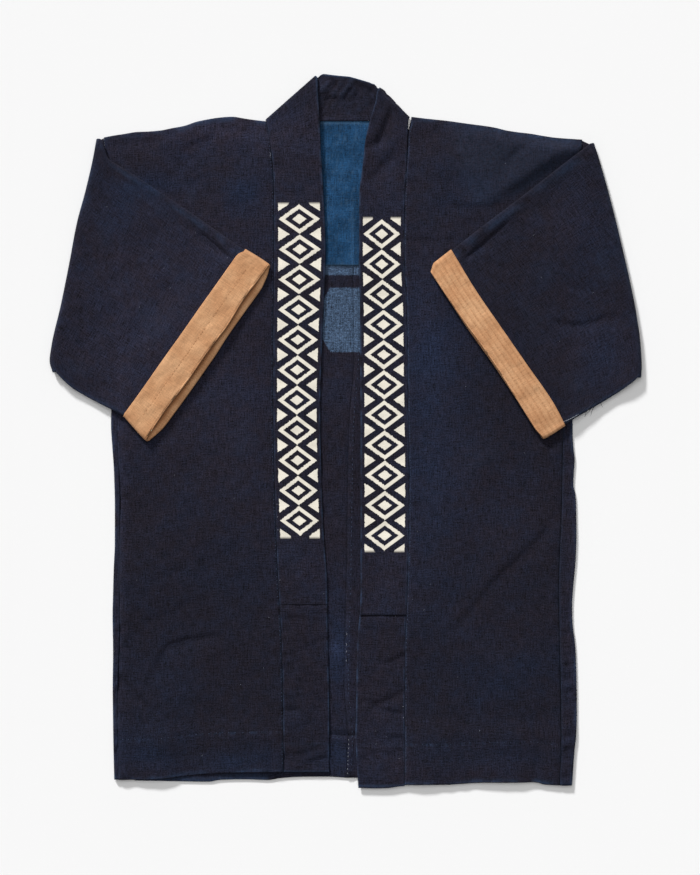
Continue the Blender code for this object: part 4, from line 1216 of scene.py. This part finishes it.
def sleeve(side):
    """The sleeve, out to its fold on the floor and back over it across the front."""
    rings = [lower_ring(side, k / LOWER_RINGS) for k in range(LOWER_RINGS)]
    rings += [fold_ring(side, math.pi * k / FOLD_ROWS) for k in range(FOLD_ROWS + 1)]
    lie = len(rings)
    shares = np.arange(1, UPPER_RINGS + 1) / UPPER_RINGS
    rings += [upper_ring(side, share, SLEEVE_SHORT) for share in shares]
    grid = np.array(rings)
    x, y = grid[..., 0], grid[..., 1]
    ridges = creased(SLEEVE_CREASES[side.sign], x, y)
    relief = swells(SLEEVE_SWELLS, x, y, SLEEVE_SEED[side.sign]) + CREASE_GAIN * ridges
    fade = smooth(shares * 7) * smooth((0.86 - shares) / 0.06)
    grid[lie:, :, 2] += relief[lie:] * ABOVE * fade[:, None] * smooth(V / 0.03)

    run = run_along(grid)
    span = SLEEVE_SPAN * V + 0 * run
    ring = np.arange(len(grid))[:, None]
    rub = patchy(span, run, 40, 96, 0.55, 1.2)
    wear = 0.3 * bell(ring - (lie - 7), 5.0) * rub * (ring < lie + 3)
    wear += (0.22 * bell(span - 5, 5) * rub + 0.12 * np.clip(ridges, 0, 1)) * (ring >= lie) * ABOVE
    wear += 0.25 * bell(span - SLEEVE_SPAN, 3)
    marks = cloth_marks(grid, points(run, span + SLEEVE_GRAIN[side.sign], 0), wear)
    piece, area = shell("coat_sleeve_" + side.name, grid, CLOTH, INDIGO, marks, closed=True)
    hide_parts("sleeve_" + side.name)
    return piece


def cuff(side):
    """The cuff round the end of the sleeve, turned at the opening and back inside it."""
    seam = lip_at(side) - curve(side.seam_bow, V)
    shares = np.linspace(1, 0, CUFF_RINGS + 1)[:-1]
    rings = [upper_ring(side, 1.0, seam * share, CUFF_OFFSET) for share in shares]
    reach = CUFF_CLOTH / 2 + CUFF_OFFSET
    for angle in np.pi * np.arange(TURN_ROWS + 1) / TURN_ROWS:
        inset = reach - CUFF_OFFSET * math.sin(angle)
        rings.append(upper_ring(side, 1.0, inset, CUFF_OFFSET * math.cos(angle)))
    insets = np.linspace(CUFF_EDGE, CUFF_INSIDE, 9)
    rings += [upper_ring(side, 1.0, reach + inset, -CUFF_OFFSET) for inset in insets]
    grid = np.array(rings)
    outer = grid[:CUFF_RINGS]
    x, y = outer[..., 0], outer[..., 1]
    from_seam = (1 - shares[:, None]) * side.cuff_depth
    to_edge = shares[:, None] * side.cuff_depth
    rise = swells(CUFF_SWELLS, x, y, CUFF_SEED[side.sign]) + creased(CUFF_CREASES[side.sign], x, y)
    rise += -0.35 * bell(from_seam, 1.5) + 0.25 * bell(from_seam - 5, 4)
    worn = 0.35 * bell(from_seam, 1.6)
    for number, row in enumerate(STITCH_ROWS[side.sign]):
        line = from_seam - row * side.cuff_depth
        pucker = 0.5 + 0.5 * np.cos(2 * math.pi * PUCKERS * V + number)
        rise += -0.5 * bell(line, 1.4) * (0.55 + 0.45 * pucker) * STITCH_DEPTH[side.sign]
        worn = worn + 0.35 * bell(line, 1.0) * STITCH_WEAR[side.sign]
    outer[..., 2] += rise * ABOVE * smooth(to_edge / 3)

    run = run_along(grid)
    span = CUFF_SPAN * V + 0 * run
    wear = 0.25 * bell(span, 4) + 0.25 * bell(span - CUFF_SPAN, 4)
    wear[:CUFF_RINGS] += worn
    # Painted shade: the inside of the lower layer, which shows in the opening below the upper lip, is
    # darkened to brown farther in, as if in the upper lip's shadow.
    wear[-len(insets):] += smooth((insets - 2) / 6)[:, None] * np.clip(-OUTWARD, 0, 1)
    marks = {"grain": points(run, span + CUFF_GRAIN[side.sign], 0), "wear": np.clip(wear, 0, 1)}
    piece, area = shell("coat_cuff_" + side.name, grid, CUFF_CLOTH, TAN, marks, closed=True)
    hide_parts("cuff_" + side.name)
    return piece


# ---------------------------------------------------------------- neckband

BAND_EDGE = np.array((0.0, 0.2, 0.6, 1.25, 3.0, 6.0))  # close columns at the band's edges
BAND_MIDDLE = 9.5  # the evenly spaced columns start this far in
KEY_STEP = 32.0  # distance between the sections that the rows of the band are read at
BAND_CELL = 3.6  # distance between its sections, and between those of the lower bands
LOWER_CELL = 3.2
CORNER_STEPS = 6
BEHIND_Z = 4.2  # the band lies behind the neck where it is lower than this and farther up than this
BEHIND_Y = 400.0
GATHER_FOOT = 426.0  # the gathered stretch behind the neck, from its seam to its fold
GATHER_TOP = 474.0
# How far the foot of the right band hangs below its corner, by x.
BAND_FOOT = ((17, 2.2), (40, 3.0), (58, 2.4), (72, 0.2), (79, -0.4))
LOWER_STITCH = {-1: HEM_DEPTH - 18.0, 1: HEM_DEPTH}  # height of the stitches over the band's foot
PIECING_GROOVE = {-1: 0.6, 1: 1.2}  # depth of the hollow under each piecing seam
NECK_LAP = 2.2  # how far the band's seam reaches over the edge of the neck, and how high it lies there
NECK_LAP_RISE = 1.8
# How far the edge of the turned band stands out, along it from the seam to the fold.
TURN_BULGE = (
    (0, 0.2), (0.17, -0.7), (0.36, -1.5), (0.54, -3), (0.64, -3.9), (0.75, -4.4), (0.88, -2.6), (1, -2.4),
)


def band_keys(side, low, high):
    """Seam and fold points of level sections from one height up to another."""
    keys, fold_x, seam_z, fold_z = np.transpose(BAND_ROWS[side.sign])
    y = np.linspace(low, high, max(2, round((high - low) / KEY_STEP)) + 1)
    seam_x = curve(side.collar_seam, y) - side.sign * SEAM_GAP
    seam = points(seam_x, y, curve(zip(keys, seam_z), y))
    return seam, points(curve(zip(keys, fold_x), y), y, curve(zip(keys, fold_z), y))


def turn_keys(rows):
    """Seam and fold points from rows that hold both."""
    table = np.array(rows, float)
    return table[:, :3], table[:, 3:]


def corner_keys(upper, lower, side):
    """Sections round the edge where the band turns over, from one above to one below."""
    start, end = np.reshape((upper, lower), (2, 2, 3)).astype(float)
    line = unit((start[1] - start[0]) * LEVEL)
    keys = half_turn(start, end, (line[1] * side.sign, -line[0] * side.sign, 0), CORNER_STEPS)
    return keys[:, 0], keys[:, 1]


def refine(seam, fold, cell):
    """More sections between key sections, on smooth curves."""
    keys = np.stack((seam, fold), 1)
    place = run_along(keys).mean(axis=1)
    fine = [0.0]
    for start, size in zip(place, np.diff(place)):
        steps = max(2, math.ceil(size / cell))
        fine += [start + size * k / steps for k in range(1, steps + 1)]
    fine = np.array(fine)
    columns = keys.reshape(len(keys), 6).T
    out = np.stack([curve(zip(place, column), fine) for column in columns], -1)
    return out[:, :3], out[:, 3:], fine


def across_band(seam, fold):
    """The band's sheet between its seam and its fold, and the share of its width at each column."""
    middle = np.linspace(BAND_MIDDLE, BAND_WIDTH - BAND_MIDDLE, 15)
    shares = np.concatenate((BAND_EDGE, middle, BAND_WIDTH - BAND_EDGE[::-1])) / BAND_WIDTH
    return mix(seam[:, None, :], fold[:, None, :], shares[:, None]), shares


def band_marks(grid, shares, along, print_place, more_wear):
    """What the material of the band reads at each corner."""
    x, y = grid[..., 0], grid[..., 1]
    from_seam = shares * BAND_WIDTH + 0 * x
    wear = 0.6 * bell(BAND_WIDTH - from_seam, 1.5) + 0.3 * bell(from_seam, 1.6)
    wear = wear * patchy(y, 0 * y, 30, 91, 0.55, 1.2) + more_wear
    grain = points(from_seam, along[:, None] + BAND_GRAIN, 0)
    return cloth_marks(grid, grain, wear, fading=0.5, print=print_place)


def band_relief(x, y, shares, rows, seed):
    """The small rises and hollows of the band, and its puckers along the seam and the fold."""
    from_seam = shares * BAND_WIDTH
    rise = CREASE_GAIN * creased(rows, x, y) + swells(BAND_SWELLS, x, y, seed)
    rise += 0.12 * waves(x / 3, y, 12, seed + 4)
    rise += 0.2 * ripples(y, 13, seed + 2) * bell(from_seam, 6)
    rise += 0.15 * ripples(y, 17, seed + 3) * bell(BAND_WIDTH - from_seam, 5)
    return rise - 0.25 * bell(from_seam - 2.5, 1.5)


def neckband():
    """The band from one piecing seam up, round behind the neck and down to the other."""
    left_up = band_keys(LEFT, PIECING[-1] + PIECING_GAP[-1], BAND_ROWS[-1][-1][0])
    right_up = band_keys(RIGHT, PIECING[1] + PIECING_GAP[1], BAND_ROWS[1][-1][0])
    right_corner = corner_keys(TURN_RIGHT[-1], BAND_BACK[-1], RIGHT)
    parts = [
        left_up,
        turn_keys(TURN_LEFT),
        corner_keys(TURN_LEFT[-1], BAND_BACK[0], LEFT),
        turn_keys(BAND_BACK),
        [part[::-1] for part in right_corner],
        turn_keys(TURN_RIGHT[::-1]),
        [part[::-1] for part in right_up],
    ]
    seam, fold, along = refine(*(np.concatenate(keys) for keys in zip(*parts)), BAND_CELL)
    grid, shares = across_band(seam, fold)
    x, y, z = grid[..., 0], grid[..., 1], grid[..., 2]
    from_seam = shares * BAND_WIDTH
    behind = (z < BEHIND_Z) & (y > BEHIND_Y)
    facing = (~behind).all(axis=1)
    left = (facing & (x.mean(axis=1) < -10))[:, None]
    right = (facing & (x.mean(axis=1) > 10))[:, None]
    rise = band_relief(x, y, shares, BAND_CREASES, 61) * ((left | right) & (y < 445))
    rise += 0.3 * left * bell(y - PIECING[-1], 6) + 0.7 * right * bell(y - PIECING[1], 6)
    neck = behind & (y > GATHER_FOOT - 2)
    gather = CREASE_GAIN * creased(NECK_CREASES, x, y) + swells(NECK_SWELLS, x, y, 77)
    z += rise + neck * gather * smooth((y - GATHER_FOOT) / 14) * smooth((GATHER_TOP - y) / 6)
    open_neck = (behind & (y < 460)) * smooth((42 - np.abs(x + 3)) / 8)
    z += NECK_LAP_RISE * open_neck * smooth((7 - from_seam) / 6)
    y -= NECK_LAP * open_neck * smooth((4.5 - from_seam) / 4)

    seam_x, seam_y, _, fold_x, fold_y, _ = TURN_RIGHT[-1]
    _, beyond, length = from_line(x, y, seam_x, seam_y, fold_x, fold_y)
    bulge = straight(TURN_BULGE, shares) * smooth(1 + beyond / 16) * smooth((z - 1.9) / 2.5) * (x > 30)
    x += bulge * (fold_y - seam_y) / length
    y -= bulge * (fold_x - seam_x) / length

    fall = np.where(left, PRINT_TOP[-1], PRINT_TOP[1]) - y
    print_length = PRINT_STEP * PRINT_COUNT
    shown = (left | right) & (fall > -2) & (fall < print_length + 2)
    print_place = points(from_seam - BAND_WIDTH / 2, np.clip(fall, 0, print_length), shown)
    marks = band_marks(grid, shares, along, print_place, neck * 0.1 * np.clip(gather, 0, 1))
    piece = thick_band("coat_neckband", grid, marks)
    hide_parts("collar")
    return piece


def lower_band(side):
    """The plain length of the band below its piecing seam."""
    low, high = side.collar_seam[0][0], PIECING[side.sign] - PIECING_GAP[side.sign]
    seam, fold, along = refine(*band_keys(side, low, high), LOWER_CELL)
    grid, shares = across_band(seam, fold)
    x, y = grid[..., 0], grid[..., 1]
    rise = band_relief(x, y, shares, LOWER_BAND_CREASES, 67) + 0.16 * waves(x / 4, y, 9, 69)
    stitch = y - low - LOWER_STITCH[side.sign]
    rise += -0.4 * bell(stitch, 1.6) - PIECING_GROOVE[side.sign] * bell(y - high, 5.5)
    grid[..., 2] += rise * smooth((y - low) / 4)
    if side.sign > 0:
        y -= straight(BAND_FOOT, x) * smooth(1 - (y - low) / 40)
    more_wear = 0.4 * bell(y - low, 2.0) + 0.12 * bell(stitch, 1.2)
    marks = band_marks(grid, shares, along, 0 * grid, more_wear)
    piece = thick_band("coat_neckband_lower_" + side.name, grid, marks)
    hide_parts("collar_" + side.name + "_lower")
    return piece


def lining():
    """The cloth inside the shoulders, which shows in the neck's opening."""
    left, right, bottom, top = LINING
    y = np.linspace(bottom, top, 98)[:, None]
    x = np.linspace(left, right, 63)[None, :]
    x, y = np.broadcast_arrays(x, y)
    free = smooth((30 - np.abs(x + 6)) / 10)
    relief = 0.2 * waves(x, y, 26, 95) + 0.1 * ripples(x, 7, 96) + creased(LINING_CREASES, x, y)
    z = LINING_Z + np.clip(relief, -0.3, 0.8) * free * smooth((top - y) / 10)
    z += 0.7 * smooth((y - 398) / 14) * free
    streak = np.clip(waves(x, y / 7, 5, 94) * waves(x / 6, y, 7, 93), 0, 1.5)
    wear = 0.08 * streak + 0.25 * bell(x - 9, 0.9) * smooth((320 - y) / 40) + 0.2 * bell(y - 414, 2)
    wear += 0.35 * bell(y - bottom, 1.2)
    # Lighter all over and darker right of x = 10.5 below y = 314, with an uneven tone; at x = -30 a painted
    # shadow of the left band's fold edge darkens a strip.
    painted_light_and_tone = 1.13 - 0.25 * smooth((x - 10.5) / 1.5) * smooth((314 - y) / 16)
    painted_light_and_tone += 0.05 * waves(x, y, 30, 92) - 0.2 * bell(x + 30, 5)
    marks = {"grain": points(x, y + LINING_GRAIN, 0), "wear": np.clip(wear, 0, 1), "painted_light_and_tone": painted_light_and_tone}
    piece, area = shell("coat_shoulder_lining", points(x, y, z), CLOTH, BLUE, marks)
    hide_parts("shoulder_lining")
    return piece


# ---------------------------------------------------------------- stitches and loose threads

STITCH_SIDES = 5
# Columns: x y angle length bend. Bits of lint on the cloth.
LINT = (
    (-194, -435, 20, 3.2, 60), (-201, 265, 80, 2.4, 30), (-160, 232, 10, 2.2, 50), (-276, 165, 60, 3.0, 80),
    (-258, 242, 130, 2.0, 20), (-236, 190, 40, 3.4, 60), (-244, 218, 0, 1.8, 90), (-320, 300, 50, 1.8, 0),
    (214, 358, 90, 1.6, 10), (-262, 110, 150, 2.0, 50), (250, 262, 20, 2.6, 40), (262, 205, 100, 1.8, 20),
    (330, 185, 30, 2.2, 30), (286, 120, 60, 1.6, 40), (96, -135, 80, 2.0, 30), (112, -205, 10, 1.8, 60),
    (104, -240, 50, 2.4, 20), (150, -330, 75, 1.6, 0), (178, -402, 30, 2.8, 60), (66, -248, 20, 2.2, 90),
    (90, -226, 110, 1.8, 20), (58, -300, 140, 1.6, 40), (70, -438, 0, 2.4, 30), (-30, -218, 60, 1.6, 20),
    (-104, -250, 30, 2.0, 40), (-110, -318, 80, 1.8, 30), (-150, -90, 20, 1.6, 50),
    (-230, -60, 70, 2.0, 30), (42, -417, 200, 3.0, 60), (40, -402, 80, 1.6, 20), (54, -409, 30, 1.4, 0),
    (-140, -340, 120, 1.8, 20), (-280, -200, 45, 1.6, 60), (160, 60, 30, 1.6, 20), (240, -30, 90, 1.8, 40),
)
# The same columns. Frayed ends at the right sleeve's edge.
LOOSE = (
    (338, 42, 236, 20, 20), (336, 43, 244, 24, -18), (330, 39, 232, 18, 25), (326, 37, 215, 13, 30),
    (342, 46, 262, 12, 40), (334, 42, 228, 15, 10),
)


class Sewing:
    """Threads laid on the finished pieces."""

    def __init__(self, pieces):
        graph = bpy.context.evaluated_depsgraph_get()
        self.trees = [BVHTree.FromObject(piece, graph) for piece in pieces]

    def top(self, x, y):
        hits = [tree.ray_cast(Vector((x * MM, y * MM, 0.1)), Vector((0, 0, -1)))[0] for tree in self.trees]
        return max([hit.z for hit in hits if hit], default=0.0) / MM

    def laid(self, path, radius, arch):
        """A path of places with the height of what lies under it. Its ends dip into the cloth."""
        under = np.array([self.top(x, y) for x, y in path])
        t = np.linspace(0, 1, len(path))
        return np.column_stack((path, under + radius * 0.4 + arch * (np.sin(np.pi * t) - 0.3)))

    def thread(self, name, paths, radius, arch, material):
        """One piece of threads along paths, each a tube that thins to its ends."""
        turns = 2 * math.pi * np.arange(STITCH_SIDES)[:, None] / STITCH_SIDES
        corners, faces, first = [], [], 0
        for path in paths:
            path = self.laid(np.array(path, float), radius, arch)
            along = unit(np.gradient(path, axis=0))
            side = unit(np.stack((-along[:, 1], along[:, 0], 0 * along[:, 0]), -1))
            rise = np.cross(along, side)
            thick = radius * (0.55 + 0.45 * np.sin(np.pi * np.linspace(0, 1, len(path))))[:, None, None]
            rings = path[:, None] + thick * (side[:, None] * np.cos(turns) + rise[:, None] * np.sin(turns))
            index = first + np.arange(len(path) * STITCH_SIDES).reshape(len(path), STITCH_SIDES)
            first += index.size
            corners.append(rings.reshape(-1, 3))
            faces += grid_faces(index, True).tolist() + [index[0, ::-1].tolist(), index[-1].tolist()]
        return make_piece(name, np.concatenate(corners), faces, material)


def stitches(line, pitch, length, seed, miss=0.0):
    """Short paths along a line of places, a pitch apart and each a little uneven."""
    draw = np.random.default_rng(seed)
    line = np.array(line, float)
    run = run_along(line[:, None])[:, 0]
    paths = []
    for start in np.arange(pitch * 0.3, run[-1] - length, pitch):
        if draw.random() < miss:
            continue
        start += draw.uniform(-0.12, 0.12) * pitch
        stops = start + length * draw.uniform(0.75, 1.2) * np.linspace(0, 1, 5)
        sway = draw.uniform(-0.25, 0.25, 2)
        x, y = np.interp(stops, run, line[:, 0]), np.interp(stops, run, line[:, 1])
        paths.append(np.column_stack((x + sway[0], y + sway[1])))
    return paths


def curl(x, y, angle, length, bend, steps=7):
    """A short loose thread that starts at a place and turns as it goes."""
    t = np.linspace(0, 1, steps)
    way = math.radians(angle) + math.radians(bend) * t
    step = length / (steps - 1)
    return np.column_stack((x + np.cumsum(np.cos(way)) * step, y + np.cumsum(np.sin(way)) * step))


def beside_seam(seam, shift, start, end, count):
    """Places along a seam given as (y, x) rows, shifted to its right."""
    y = np.linspace(start, end, count)
    return np.column_stack((curve(seam, y) + shift, y))


def sew(pieces):
    sewing = Sewing(pieces)
    pale = thread_cotton("pale_thread", 176, 180, 188)
    dim = thread_cotton("lint_thread", 122, 128, 142)
    blue = thread_cotton("blue_thread", 66, 82, 110)
    dark = thread_cotton("dark_thread", 34, 36, 52)
    tan = thread_cotton("tan_thread", 176, 126, 84)
    seams, hems, rows = [], [], []
    for side, low, high in ((LEFT, -450, 395), (RIGHT, -470, 405)):
        line = beside_seam(side.collar_seam, 1.8 * side.sign, high, low, 200)
        seams += stitches(line, 5.2, 1.7, 301 + side.sign, 0.25)
        x = np.linspace(curve(side.front_edge, -410) - 2 * side.sign, curve(side.collar_seam, -410), 60)
        line = np.column_stack((x, curve(side.hem, x) + HEM_DEPTH + HEM_ROUND - HEM_STITCH))
        hems += stitches(line, 9.0, 1.5, 311 + side.sign, 0.2)
        v = np.linspace(0.03, 0.97, 60)
        for number, place in enumerate(STITCH_ROWS[side.sign]):
            depth = place * side.cuff_depth + curve(side.seam_bow, v)
            line = cuff_row(side, v, depth[:, None])[:, :2]
            rows += stitches(line, 5.0, 2.6, 341 + number + 10 * side.sign, 0.1)
    seams += stitches(beside_seam(CENTRE_SEAM, 4.0, 170, -455, 120), 6.4, 2.6, 321, 0.2)
    hems += stitches([(x, -409.5) for x in np.linspace(-20, 14, 10)], 6.0, 1.8, 323, 0.1)
    white = stitches(beside_seam(CENTRE_SEAM, 0.6, -267, -316, 20), 12.0, 3.6, 331)
    white += stitches(beside_seam(CENTRE_SEAM, -1.0, -410, -461, 12), 5.6, 2.4, 333)
    white += stitches(beside_seam(LEFT.collar_seam, 2.4, -92, -218, 30), 17.0, 1.8, 335, 0.3)
    white += stitches(beside_seam(RIGHT.collar_seam, -2.0, -430, -300, 30), 19.0, 1.8, 337, 0.3)
    white.append([(-101.5, 374), (-101, 372), (-101, 370), (-101.4, 368)])
    white.append([(290 + 22 * t, 13 + 10.5 * t**1.2) for t in np.linspace(0, 1, 9)])
    lint = [curl(*row) for row in LINT]
    loose = [curl(*row) for row in LOOSE]
    sewing.thread("seam_stitches", seams, 0.22, 0.25, blue)
    sewing.thread("hem_stitches", hems, 0.2, 0.25, blue)
    sewing.thread("pale_stitches", white, 0.17, 0.25, pale)
    sewing.thread("lint", lint, 0.14, 0.2, dim)
    sewing.thread("loose_threads", loose, 0.24, 0.2, dark)
    sewing.thread("cuff_stitches", rows, 0.24, 0.25, tan)


# ---------------------------------------------------------------- floor, light and camera

FLOOR_REACH = 30.0  # in metres, like the other sizes of this section
FLOOR_DROP = 0.0002
PIXEL = 1.34 * MM  # size of a picture point on the floor
FRAME_HEIGHT = 875 * PIXEL
CAMERA_HEIGHT = 3.2
COAT_HEIGHT = 0.004  # the camera's height is measured from here
LOOK_AT = ((350 - 345.7) * PIXEL, (431.7 - 437.5) * PIXEL)


def add_floor():
    mesh = bpy.data.meshes.new(FLOOR_NAME)
    ways = ((-1, -1), (1, -1), (1, 1), (-1, 1))
    corners = [(FLOOR_REACH * x, FLOOR_REACH * y, -FLOOR_DROP) for x, y in ways]
    mesh.from_pydata(corners, [], [(0, 1, 2, 3)])
    mesh.materials.append(floor_paper())
    floor = bpy.data.objects.new(FLOOR_NAME, mesh)
    bpy.context.scene.collection.objects.link(floor)


def add_sun(name, way, softness, power):
    """An even studio light that comes from the way given. Softness is its width in degrees."""
    lamp = bpy.data.lights.new(name, "SUN")
    lamp.angle = math.radians(softness)
    lamp.energy = power
    holder = bpy.data.objects.new(name, lamp)
    holder.rotation_mode = "QUATERNION"
    holder.rotation_quaternion = Vector(way).to_track_quat("Z", "Y")
    bpy.context.scene.collection.objects.link(holder)


def add_world(strength):
    world = bpy.data.worlds.new("studio")
    world.use_nodes = True
    background = world.node_tree.nodes["Background"]
    background.inputs["Color"].default_value = (1.0, 1.0, 1.0, 1.0)
    background.inputs["Strength"].default_value = strength
    bpy.context.scene.world = world


def add_camera():
    camera = bpy.data.cameras.new("camera")
    camera.lens = camera.sensor_width * CAMERA_HEIGHT / FRAME_HEIGHT
    camera.clip_end = 100
    holder = bpy.data.objects.new("camera", camera)
    holder.location = (*LOOK_AT, CAMERA_HEIGHT + COAT_HEIGHT)
    bpy.context.scene.collection.objects.link(holder)
    bpy.context.scene.camera = holder


add_camera()
add_floor()
add_sun("rake", (-0.39, 0.815, 0.42), softness=8, power=3.72)
add_sun("high", (-0.10, 0.30, 1.0), softness=60, power=1.27)
add_world(0.16)
bpy.context.scene.view_settings.view_transform = "Standard"

INDIGO = indigo("indigo_cotton_cloth")
INDIGO_BODY = indigo("indigo_body_cloth", ghost=True)
BAND_CLOTH = indigo("neckband_cloth", printed=True)
TAN = tan_cotton()
BLUE = blue_cotton()

coat = [neckband(), lower_band(LEFT), lower_band(RIGHT), lining()]
for side in (LEFT, RIGHT):
    coat += [body(side), gusset(side), sleeve(side), cuff(side)]
sew(coat)
